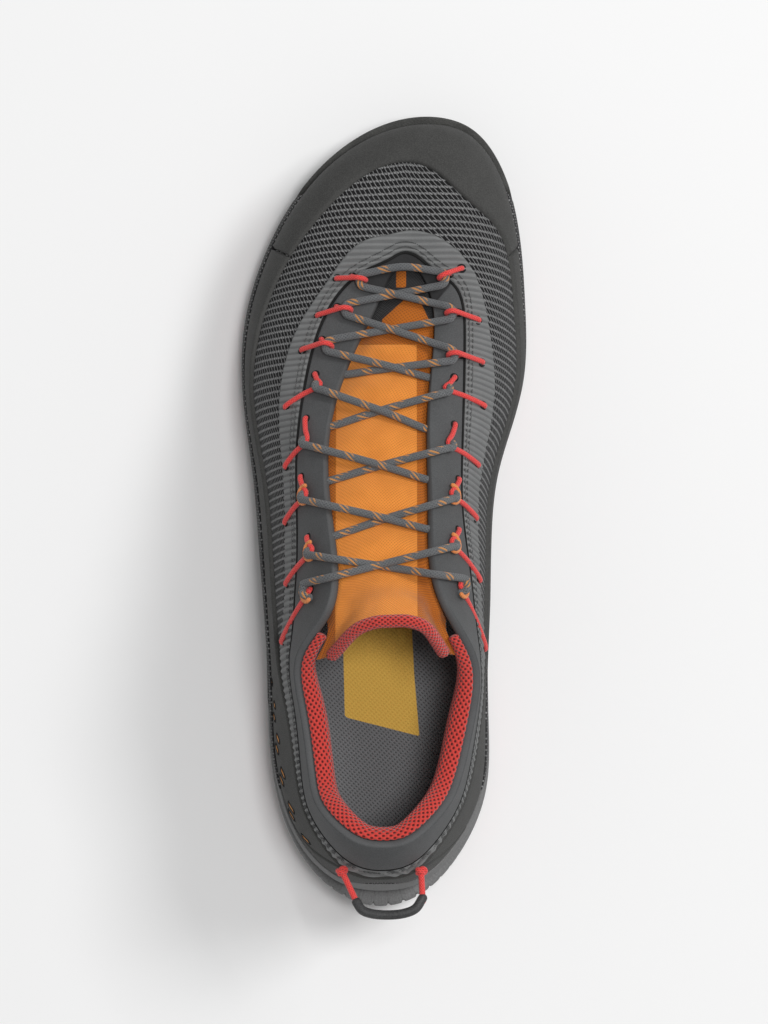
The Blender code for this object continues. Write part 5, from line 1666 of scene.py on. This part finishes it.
@dataclass
class CollarLining:
    """Padded red roll inside the collar."""

    last: Last
    section: tuple[tuple[float, float], ...] = (
        (-2.6, -23.5), (-2.5, -12.0), (-2.4, 0.2), (-1.2, 1.3), (-2.0, 2.5), (-4.8, 2.9),
        (-7.8, 0.9), (-9.1, -5.5), (-6.6, -16.5), (-3.9, -23.0),
    )
    end_station: float = 5.5
    thin_from: float = 3.6
    thin_end: float = 0.55
    depth: float = 2.5

    def profile(self) -> np.ndarray:
        """The roll's section as a smooth closed line."""
        knots = np.array([*self.section, *self.section[:3]])
        t = np.linspace(0, 1, 7, endpoint=False)[:, None]
        fours = zip(knots, knots[1:], knots[2:], knots[3:])
        return np.concatenate([bend(*four, t) for four in fours])

    def lining(self) -> bpy.types.Object:
        """The roll, with rounded ends at the throat's corners."""
        stations = self.last.even_stations(-self.end_station, self.end_station, 1.0)
        ones = np.ones_like(stations)
        top = self.last.girth(stations, ones)
        up = top - self.last.girth(stations, 0.9 * ones)
        tall = np.linalg.norm(up, axis=-1) * 10
        up /= tall[:, None] / 10
        full = 1 - (1 - self.thin_end) * ramp(np.abs(stations), self.thin_from, self.end_station)
        columns = []
        for outwards, upwards in self.profile():
            padding = min(outwards + self.depth, 0.0)
            depth = outwards - padding + padding * full
            column = self.last.shell(stations, 1 + min(upwards, 0.0) / tall, depth)
            columns.append(column + up * max(upwards, 0.0))
        rows = np.stack(columns, axis=1)
        middle = rows.mean(axis=1, keepdims=True)
        rows = np.concatenate([self.end_rows(rows, middle, 0), rows, self.end_rows(rows, middle, -1)])
        run = distances(rows.mean(axis=1))
        round_it = np.linalg.norm(np.diff(rows, axis=1, append=rows[:, :1]), axis=-1)
        around = np.concatenate([np.zeros((len(rows), 1)), np.cumsum(round_it, axis=1)], axis=1)
        cloth = np.stack([np.broadcast_to(run[:, None], around.shape), around], axis=-1)
        made = Sheet(rows, cloth, closed=True).piece("collar_lining", rows - rows.mean(axis=1, keepdims=True))
        return dress(made, LINING, "collar_lining")

    def end_rows(self, rows: np.ndarray, middle: np.ndarray, end: int) -> np.ndarray:
        """Rings that close one end of the roll to a rounded tip."""
        ahead = middle[end] - middle[1 if end == 0 else -2]
        ahead /= np.linalg.norm(ahead)
        sizes = ((0.98, 0.5), (0.9, 1.0), (0.7, 1.5), (0.4, 1.8), (0.02, 1.9))
        made = [middle[end] + (rows[end] - middle[end]) * size + ahead * forward for size, forward in sizes]
        return np.array(made[::-1] if end == 0 else made)


@dataclass
class Tongue:
    """Padded orange tongue with its red bound edge."""

    last: Last
    middle: tuple[tuple[float, float, float], ...] = (
        (13.3, 234.6, 53.1), (12.7, 232.4, 54.7), (12.0, 228.0, 56.8), (11.0, 218.0, 60.3),
        (10.0, 201.0, 66.6), (9.0, 181.0, 76.0), (8.0, 152.0, 90.0), (7.0, 131.0, 100.0), (6.2, 120.0, 106.5),
    )
    top: tuple[tuple[tuple[float, float, float], ...], ...] = (
        ((113.5, 3.0, 114.0), (103.0, -16.5, 105.5), (104.0, 19.0, 105.5)),
        ((107.5, 3.0, 120.0), (93.5, -20.5, 101.5), (95.0, 23.5, 102.0)),
    )
    flank: tuple[float, float, float] = (-1.5, 3.4, -3.0)
    wing: float = 0.90
    clear: float = 3.3
    thick: float = 3.8
    binding_radius: float = 2.35
    across: tuple[float, ...] = (-1.0, -0.66, -0.33, 0.0, 0.33, 0.66, 1.0)
    panel: tuple[float, float, float] = (-17.0, 12.0, 205.0)
    window: tuple[tuple[float, float], ...] = ((222.0, 8.1), (222.0, 12.9), (214.3, 16.4), (212.5, 16.6),
                                               (212.5, -0.6), (214.3, -0.5))
    slot: tuple[tuple[float, float], ...] = ((226.0, 4.6), (232.0, 4.6), (232.0, 8.2), (226.0, 8.2))
    orange_to: float = 212.6

    def height_at(self, s: np.ndarray | float) -> np.ndarray:
        """Height of the tongue's middle at a place along the foot."""
        rows = np.array(sorted((mid_s, mid_z) for _, mid_s, mid_z in self.middle))
        return np.interp(s, rows[:, 0], rows[:, 1])

    def arch(self, start: np.ndarray, middle: np.ndarray, end: np.ndarray,
             flat: float = 2.0) -> list[np.ndarray]:
        """Points of a shallow arch over three points, flatter on top the higher its power."""
        crown = middle - (start + end) / 2
        return [start + (end - start) * (t + 1) / 2 + crown * (1 - abs(t) ** flat) for t in self.across]

    def controls(self) -> np.ndarray:
        """The tongue's control rows, toe end first."""
        rows = []
        for station, mid_s, mid_z in self.middle:
            pair = np.array([station, self.last.count - station])
            wings = self.last.shell(pair, np.full(2, self.wing), -self.clear)
            edges = self.last.shell(pair, np.ones(2), -self.clear)
            middle = np.array([mid_s, edges[:, 1].mean(), mid_z])
            rows.append([wings[0], *self.arch(edges[0], middle, edges[1]), wings[1]])
        for middle, outer, inner in self.top:
            outer, middle, inner = np.array(outer), np.array(middle), np.array(inner)
            flank = np.array(self.flank)
            rows.append([outer + flank * [1, -1, 1], *self.arch(outer, middle, inner, 3.0), inner + flank])
        return np.array(rows)

    def face(self, crossings: Sequence[float]) -> np.ndarray:
        """The tongue's outer face, swelling between the lace's crossings.

        Args:
            crossings: Places along the foot at which the lace crosses over it.

        Returns:
            Rows of points, toe end first.
        """
        rows = through_rows(self.controls(), (6, 8, 14, 22, 26, 34, 26, 16, 12, 12))
        rows = through_rows(rows.transpose(1, 0, 2), (6, 9, 9, 9, 9, 9, 9, 6)).transpose(1, 0, 2)
        s = rows[:, rows.shape[1] // 2, 0]
        pressed = np.max([np.exp(-((s - at) / 5.5) ** 2) for at in crossings], axis=0)
        swell = 1.5 * (1 - pressed) * ramp(s, 117, 128) * (1 - ramp(s, 208, 226))
        across = np.linspace(-1, 1, rows.shape[1])
        rows[..., 2] += swell[:, None] * (1 - across ** 2) ** 1.5
        return rows

    def normals(self, rows: np.ndarray) -> np.ndarray:
        """Directions off the outer face."""
        along, across = np.gradient(rows, axis=0), np.gradient(rows, axis=1)
        out = np.cross(across, along)
        out /= np.linalg.norm(out, axis=-1, keepdims=True)
        return out * np.sign((out[..., 2]).sum())

    def body(self, crossings: Sequence[float]) -> bpy.types.Object:
        """The padded tongue.

        Args:
            crossings: Places along the foot at which the lace crosses over it.

        Returns:
            The piece.
        """
        face = self.face(crossings)
        inside = face - self.normals(face) * self.thick
        rows = np.concatenate([face, inside[:, ::-1]], axis=1)
        core = (face + inside) / 2
        core = np.concatenate([core, core[:, ::-1]], axis=1)
        toe, heel = ([core[end] + (rows[end] - core[end]) * size for size in sizes]
                     for end, sizes in ((0, (0.02, 0.7)), (-1, (0.7, 0.02))))
        rows = np.concatenate([toe, rows, heel])
        wide = np.linalg.norm(np.diff(rows, axis=1, append=rows[:, :1]), axis=-1)
        x = np.concatenate([np.zeros((len(rows), 1)), np.cumsum(wide, axis=1)], axis=1)
        x -= x[:, face.shape[1] // 2, None]
        y = distances(core[:, core.shape[1] // 4])
        y = np.concatenate([[y[0]] * 2, y, [y[-1]] * 2])
        cloth = np.stack([x, np.broadcast_to(y[:, None], x.shape)], axis=-1)
        s, m = rows[..., 0], rows[..., 1]
        low, high, front = self.panel
        panel = np.minimum(np.minimum(m - low, high - m), front - s)
        cut_outs = np.maximum(inside_polygon(s, m, self.slot), inside_polygon(s, m, self.window))
        fields = {ZONE: panel, ORANGE: np.maximum(cut_outs, self.orange_to - s)}
        half = (len(rows), face.shape[1], 3)
        out = np.concatenate([np.broadcast_to(way, half) for way in (UP, DOWN)], axis=1)
        made = Sheet(rows, cloth, closed=True, fields=fields).piece("tongue", out)
        return dress(made, TONGUE, "tongue")

    def binding(self, crossings: Sequence[float]) -> bpy.types.Object:
        """Red knitted edge round the tongue's top."""
        face = self.face(crossings)
        edge = (face - self.normals(face) * self.thick / 2)[-1]
        path = path_between(edge[6:-6], 0.8)
        from_start = np.linspace(0, 1, len(path)) * 40
        taper = np.clip(from_start, 0.3, 1) * np.clip(from_start[::-1], 0.3, 1)
        return dress(cord("tongue_binding", path, self.binding_radius * np.sqrt(taper), 20), BINDING)


@dataclass
class Lacing:
    """Grey lace, the red loops that carry it and painted shadows round the holes that they come out of."""

    last: Last
    tongue: Tongue
    lace_radius: float = 1.4
    loop_radius: float = 0.95
    bight_radius: float = 2.7
    rim_hop: float = 1.2
    ring_radius: float = 2.4
    panel: float = 1.35
    rows: int = 8
    hidden_from: int = 4
    nudge: tuple[float, float] = (2.6, 2.6)
    orange_from: int = 6
    hole_steps: tuple[tuple[float, float], ...] = (
        (1.75, 0.0), (1.65, 0.22), (1.45, 0.3), (1.2, 0.2), (0.05, 0.1),
    )
    table: tuple[tuple[tuple[float, ...], tuple[float, ...]], ...] = (
        ((11.22, 0.79, 11.42, 0.86, 11.50, 0.92), (16.60, 0.79, 16.40, 0.87, 16.30, 0.92)),
        ((10.45, 0.76, 10.72, 0.84, 10.74, 0.91), (17.80, 0.70, 17.42, 0.84, 17.30, 0.91)),
        ((9.82, 0.74, 10.08, 0.83, 9.98, 0.90), (18.46, 0.68, 18.20, 0.82, 18.14, 0.90)),
        ((8.92, 0.71, 9.50, 0.86, 9.22, 0.90), (19.06, 0.66, 18.50, 0.86, 18.74, 0.90)),
        ((8.24, 0.69, 8.84, 0.86, 8.50, 0.87), (19.76, 0.64, 19.16, 0.85, 19.46, 0.88)),
        ((7.52, 0.63, 8.16, 0.82, 7.86, 0.84), (20.50, 0.62, 19.84, 0.80, 20.10, 0.85)),
        ((6.50, 0.63, 7.40, 0.83, 7.12, 0.86), (21.50, 0.62, 20.56, 0.80, 20.84, 0.87)),
        ((5.30, 0.66, 6.50, 0.86, 6.24, 0.87), (22.70, 0.64, 21.40, 0.85, 21.72, 0.88)),
    )

    def loop(self, side: Side, row: int) -> tuple[float, ...]:
        """One loop's line of the table; rows count from 1 at the toe."""
        return self.table[row - 1][0 if side is Side.OUTER else 1]

    def under(self, side: Side, row: int, out: float = 0.0) -> np.ndarray:
        """Point on or off the upper under the middle of a turn of the lace."""
        *_, station, share = self.loop(side, row)
        return self.last.shell(np.array(station), np.array(share), out)

    def bight(self, side: Side, row: int) -> tuple[np.ndarray, np.ndarray, np.ndarray, np.ndarray]:
        """Find a turn of the lace.

        Args:
            side: The throat's side.
            row: The loop's row.

        Returns:
            Its middle, and the directions towards the throat, along the foot and up.
        """
        facing = [min(max(row + step, 1), self.rows) for step in (-1, 1)]
        up = self.under(side, row, 1.0) - self.under(side, row)
        throat = sum(self.under(side.other, other) for other in facing) / 2 - self.under(side, row)
        throat -= up * throat.dot(up)
        throat /= np.linalg.norm(throat)
        heelward = np.cross(up, throat)
        if heelward[0] > 0:
            heelward = -heelward
        inwards, toewards = self.nudge if row >= self.hidden_from else (1.0, 0.0)
        middle = self.under(side, row, self.panel + 2.6) + throat * inwards - heelward * toewards
        return middle, throat, heelward, up

    def turn(self, side: Side, row: int, angles: Sequence[float], lift: float = 0.0) -> list[np.ndarray]:
        """Points round a turn, by angle from the side nearest the sole."""
        middle, inwards, heelward, up = self.bight(side, row)
        return [middle + up * lift - inwards * self.bight_radius * math.cos(math.radians(a))
                + heelward * self.bight_radius * math.sin(math.radians(a)) for a in angles]

    def is_over(self, side: Side, row: int) -> bool:
        """Whether the strand that leaves a loop lies on top where it crosses the other one."""
        return (side is Side.OUTER) == (row < self.rows - 1)

    def crossing(self, side: Side, row: int) -> np.ndarray:
        """Middle of the strand that leaves a loop for the next row across."""
        leave, arrive = self.turn(side, row, (90,))[0], self.turn(side.other, row + 1, (-90,))[0]
        middle = (leave + arrive) / 2
        high = 1.42 if self.is_over(side, row) else 0.62
        middle[2] = self.tongue.height_at(middle[0]) + 0.3 + 2 * self.lace_radius * high
        return middle

    def crossings(self) -> list[float]:
        """Places along the foot at which the lace crosses itself."""
        return [float((self.crossing(Side.OUTER, row)[0] + self.crossing(Side.INNER, row)[0]) / 2)
                for row in range(1, self.rows)]

    def over_rim(self, side: Side, near: np.ndarray, middle: np.ndarray) -> np.ndarray:
        """Where a strand passes over the throat's edge."""
        rim = self.last.throat(side, (near[0] + middle[0]) / 2)
        share = np.clip((rim[1] - near[1]) / (middle[1] - near[1]), 0.2, 0.75)
        point = near + (middle - near) * share
        point[2] = rim[2] + self.panel + self.lace_radius + self.rim_hop
        return point

    def under_rim(self, side: Side, near: np.ndarray, middle: np.ndarray) -> list[np.ndarray]:
        """Where a strand slips in under the throat's edge, and its hidden end."""
        rim = self.last.throat(side, near[0] * 0.62 + middle[0] * 0.38)
        inwards = np.sign(middle[1] - rim[1])
        entry = near + (middle - near) * np.clip((rim[1] - near[1]) / (middle[1] - near[1]), 0.2, 0.75)
        entry[2] = rim[2] - 1.6
        hidden = entry + np.array([0.0, -inwards * 0.6, -2.2])
        return [entry + np.array([0.0, inwards * 2.2, 1.0]), entry, hidden]

    def half(self, first: Side) -> list[list[np.ndarray]]:
        """Stretches of one end of the lace, from the first row's bar to the last loops."""
        bar = (self.bight(Side.OUTER, 1)[0] + self.bight(Side.INNER, 1)[0]) / 2 + np.array([4.5, 0.0, 0.6])
        route = [bar, *self.turn(first, 1, (-90, -45, 0, 45, 90))]
        stretches, side = [], first
        for row in range(1, self.rows):
            start, middle = route[-1], self.crossing(side, row)
            route += [self.over_rim(side, start, middle), middle]
            arrive = self.turn(side.other, row + 1, (-90,))[0]
            if self.hidden_from <= row + 1 < self.rows:
                route += self.under_rim(side.other, arrive, middle)
                stretches.append(route)
                route = [*self.turn(side.other, row + 1, (-22,), -2.6),
                         *self.turn(side.other, row + 1, (-4,), -0.7),
                         *self.turn(side.other, row + 1, (30, 60, 90))]
            else:
                angles = (-45, 0, 45, 90) if row + 1 < self.rows else (-60, -25, 5)
                route += [self.over_rim(side.other, arrive, middle), arrive,
                          *self.turn(side.other, row + 1, angles)]
            side = side.other
        route += self.turn(side, self.rows, (30, 45), -2.0)
        return [*stretches, route]

    def lace(self) -> bpy.types.Object:
        """The whole lace, both ends."""
        first, second = self.half(Side.OUTER), self.half(Side.INNER)
        runs = [first[0][:0:-1] + second[0], *first[1:], *second[1:]]
        parts = [cord("lace", path_between(run, 0.55), self.lace_radius, 14) for run in runs]
        return dress(join("lace", parts), LACE, "lace")

    def loops(self) -> list[bpy.types.Object]:
        """Red loops, one piece for each loop of the part."""
        made = []
        for side in Side:
            for row in range(1, self.rows + 1):
                name = f"loop_{side.value}_{row}"
                made.append(dress(cord(name, self.loop_path(side, row), self.loop_radius, 12), LOOP, name))
        return made

    def loop_path(self, side: Side, row: int) -> np.ndarray:
        """Route of a loop from one hole round the lace to the other hole."""
        outer_u, outer_w, inner_u, inner_w, *_ = self.loop(side, row)
        middle, inwards, _, up = self.bight(side, row)
        low, rest = -0.8, self.panel + self.loop_radius + 0.1
        start = [self.last.shell(np.array(outer_u), np.array(outer_w), out) for out in (low, rest - 0.6)]
        end = [self.last.shell(np.array(inner_u), np.array(inner_w), out) for out in (rest - 0.6, low)]
        if row >= self.hidden_from:
            corner = middle - inwards * (self.bight_radius - 1.2)
            corner -= up * (corner - self.under(side, row, rest)).dot(up)
            halfway = [(start[1] + corner) / 2 + up * 0.6, (corner + end[0]) / 2 + up * 0.3]
            return path_between([*start, halfway[0], corner, halfway[1], *end], 0.45)
        ahead = middle - start[0]
        ahead -= up * ahead.dot(up)
        ahead = ahead / np.linalg.norm(ahead) + inwards * 0.5
        ahead /= np.linalg.norm(ahead)
        lace = middle - ahead * self.bight_radius
        ring = [lace + (up * math.cos(math.radians(a)) + ahead * math.sin(math.radians(a))) * self.ring_radius
                for a in (-12, 30, 70, 110, 150)]
        leg = ring[0] - start[1]
        run_in = [start[1] + leg * share + up * lift for share, lift in ((0.33, 0.15), (0.66, 0.1))]
        return path_between([*start, *run_in, *ring, *end], 0.45)

    def inner_loops(self) -> bpy.types.Object:
        """Orange crescents inside the last rows' turns."""
        parts = []
        for side in Side:
            for row in range(self.orange_from, self.rows + 1):
                middle, inwards, heelward, up = self.bight(side, row)
                middle = middle - inwards * (self.bight_radius - 0.9) - up * 1.0
                points = [middle - inwards * 3.0 * math.cos(a) + heelward * 3.3 * math.sin(a)
                          for a in np.linspace(-1.75, 1.75, 15)]
                parts.append(cord(f"inner_loop_{side.value}_{row}", path_between(points, 0.4), 0.8, 10))
        return dress(join("inner_loops", parts), INNER_LOOP)

    def holes(self) -> bpy.types.Object:
        """Small dark rings where the loops come out of the panel: a painted shadow round each hole."""
        parts = []
        turn = np.linspace(0, 2 * math.pi, 20, endpoint=False)[:, None]
        spots = [self.loop(side, row)[k:k + 2]
                 for side in Side for row in range(1, self.rows + 1) for k in (0, 2)]
        for u, w in np.array(spots, float):
            middle, out = self.last.shell(u, w, self.panel - 0.15), self.last.away(u, w)
            first = np.cross(out, [1.0, 0.0, 0.2])
            first /= np.linalg.norm(first)
            ring = np.cos(turn) * first + np.sin(turn) * np.cross(out, first)
            rows = np.array([middle + ring * radius + out * lift for radius, lift in self.hole_steps])
            parts.append(Sheet(rows, closed=True).piece("hole", np.broadcast_to(out, rows.shape)))
        return dress(join("loop_holes", parts), HOLE_SHADOW_AND_DARK_TRIM)


@dataclass
class PullLoop:
    """Sleeved cord loop behind the heel, held by a knot on each side."""

    last: Last
    knot_at: tuple[float, float] = (1.1, 0.66)
    sleeve: tuple[tuple[float, float, float], ...] = (
        (5.2, -9.6, 87.8), (2.4, -7.6, 88.8), (1.1, -4.0, 89.4), (0.7, 1.5, 89.6),
        (1.2, 7.0, 89.5), (2.9, 11.4, 89.0), (6.6, 14.0, 87.8),
    )
    cord_radius: float = 1.1
    sleeve_radius: float = 1.7
    knot_radius: float = 2.3
    band_face: float = 1.25

    def knot_middle(self, side: Side) -> np.ndarray:
        """Middle of one knot."""
        sign = 1 if side is Side.OUTER else -1
        station, share = self.knot_at
        off_wall = self.band_face + 0.3 + self.knot_radius
        return self.last.shell(np.array(station * sign), np.array(share), off_wall)

    def build(self) -> None:
        """Both knots and legs, and the sleeve over the bend."""
        sleeve = np.array(self.sleeve)
        for side, end in ((Side.OUTER, sleeve[0]), (Side.INNER, sleeve[-1])):
            middle = self.knot_middle(side)
            along = (end - middle) / np.linalg.norm(end - middle)
            beside = np.cross(along, [0.0, 0.0, 1.0])
            beside /= np.linalg.norm(beside)
            third = np.cross(along, beside)
            t = np.linspace(0, 2 * math.pi, 90)[:, None]
            swing = 2 + np.cos(3 * t)
            path = swing * (np.cos(2 * t) * beside + np.sin(2 * t) * third) + np.sin(3 * t) * 1.3 * along
            knot = cord(f"pull_knot_{side.value}", middle + path * 0.5, 0.95, 10)
            dress(knot, PULL, f"pull_knot_{side.value}")
            knots = [middle, middle + along * 3.5 + [0.0, 0.0, 0.25], end, end + (end - middle) * 0.12]
            leg = path_between(knots, 0.5)
            name = f"pull_cord_{side.value}"
            dress(cord(name, leg, self.cord_radius, 12), PULL, name)
        dress(cord("pull_sleeve", path_between(sleeve, 0.5), self.sleeve_radius, 18), SLEEVE, "pull_sleeve")


@dataclass
class Studio:
    """Pale floor, soft light from above, and the camera straight over the shoe."""

    camera_height: float = 2.1
    lens: float = 198.0
    look_at: tuple[float, float] = (0.0, 0.0)
    aim: tuple[float, float, float] = (0.0, 0.0, 0.04)
    lamps: tuple[tuple[str, tuple[float, float, float], float, float], ...] = (
        ("key", (-1.9, -1.1, 2.7), 1.0, 46.5), ("over", (-0.34, -0.14, 2.6), 0.5, 29.0),
    )
    glow: float = 0.31
    backdrop: str = "f4f4f4"

    def floor(self) -> None:
        """Pale plain floor."""
        mesh = bpy.data.meshes.new("floor")
        mesh.from_pydata([(-4, -4, 0), (4, -4, 0), (4, 4, 0), (-4, 4, 0)], [], [(0, 1, 2, 3)])
        piece = stand("floor", mesh)
        made = bpy.data.materials.new("paper")
        made.use_nodes = True
        shader = made.node_tree.nodes["Principled BSDF"]
        shader.inputs["Base Color"].default_value = colour(self.backdrop)
        shader.inputs["Roughness"].default_value = 0.95
        shader.inputs["Specular IOR Level"].default_value = 0.1
        mesh.materials.append(made)

    def light(self, name: str, at: tuple[float, float, float], size: float, power: float) -> None:
        """Add a square soft light that faces the shoe.

        Args:
            name: The light's name.
            at: Its place, in metres.
            size: Its side.
            power: Its power in watts.
        """
        lamp = bpy.data.lights.new(name, "AREA")
        lamp.size, lamp.energy = size, power
        piece = stand(name, lamp)
        piece.location = at
        piece.rotation_euler = (Vector(self.aim) - Vector(at)).to_track_quat("-Z", "Y").to_euler()

    def build(self) -> None:
        """Set up floor, lights, world and camera."""
        self.floor()
        for lamp in self.lamps:
            self.light(*lamp)
        world = bpy.data.worlds.new("studio")
        world.use_nodes = True
        shade = world.node_tree.nodes["Background"]
        shade.inputs["Color"].default_value = (1.0, 1.0, 1.0, 1.0)
        shade.inputs["Strength"].default_value = self.glow
        bpy.context.scene.world = world
        lens = bpy.data.cameras.new("camera")
        lens.lens, lens.sensor_width = self.lens, 36.0
        lens.clip_end = 20.0
        camera = stand("camera", lens)
        camera.location = (*self.look_at, self.camera_height)
        camera.rotation_euler = (0.0, 0.0, math.pi)
        bpy.context.scene.camera = camera
        bpy.context.scene.view_settings.view_transform = "Standard"


def main() -> None:
    """Build and dress every piece and light the shoe."""
    logging.basicConfig(level=logging.INFO, format="%(message)s")
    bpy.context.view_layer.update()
    last = Last()
    sole = SoleUnit(last)
    sole.outsole()
    sole.stripe()
    sole.midsole()
    Footbed(last).insole()
    upper = Upper(last)
    upper.body()
    upper.rands()
    upper.ribbed_band()
    upper.collar_panel()
    upper.throat_facing()
    upper.seam_line()
    upper.seam_stitches()
    upper.vent_slots()
    CollarLining(last).lining()
    tongue = Tongue(last)
    lacing = Lacing(last, tongue)
    tongue.body(lacing.crossings())
    tongue.binding(lacing.crossings())
    lacing.lace()
    lacing.loops()
    lacing.inner_loops()
    lacing.holes()
    PullLoop(last).build()
    Studio().build()


if __name__ == "__main__":
    main()
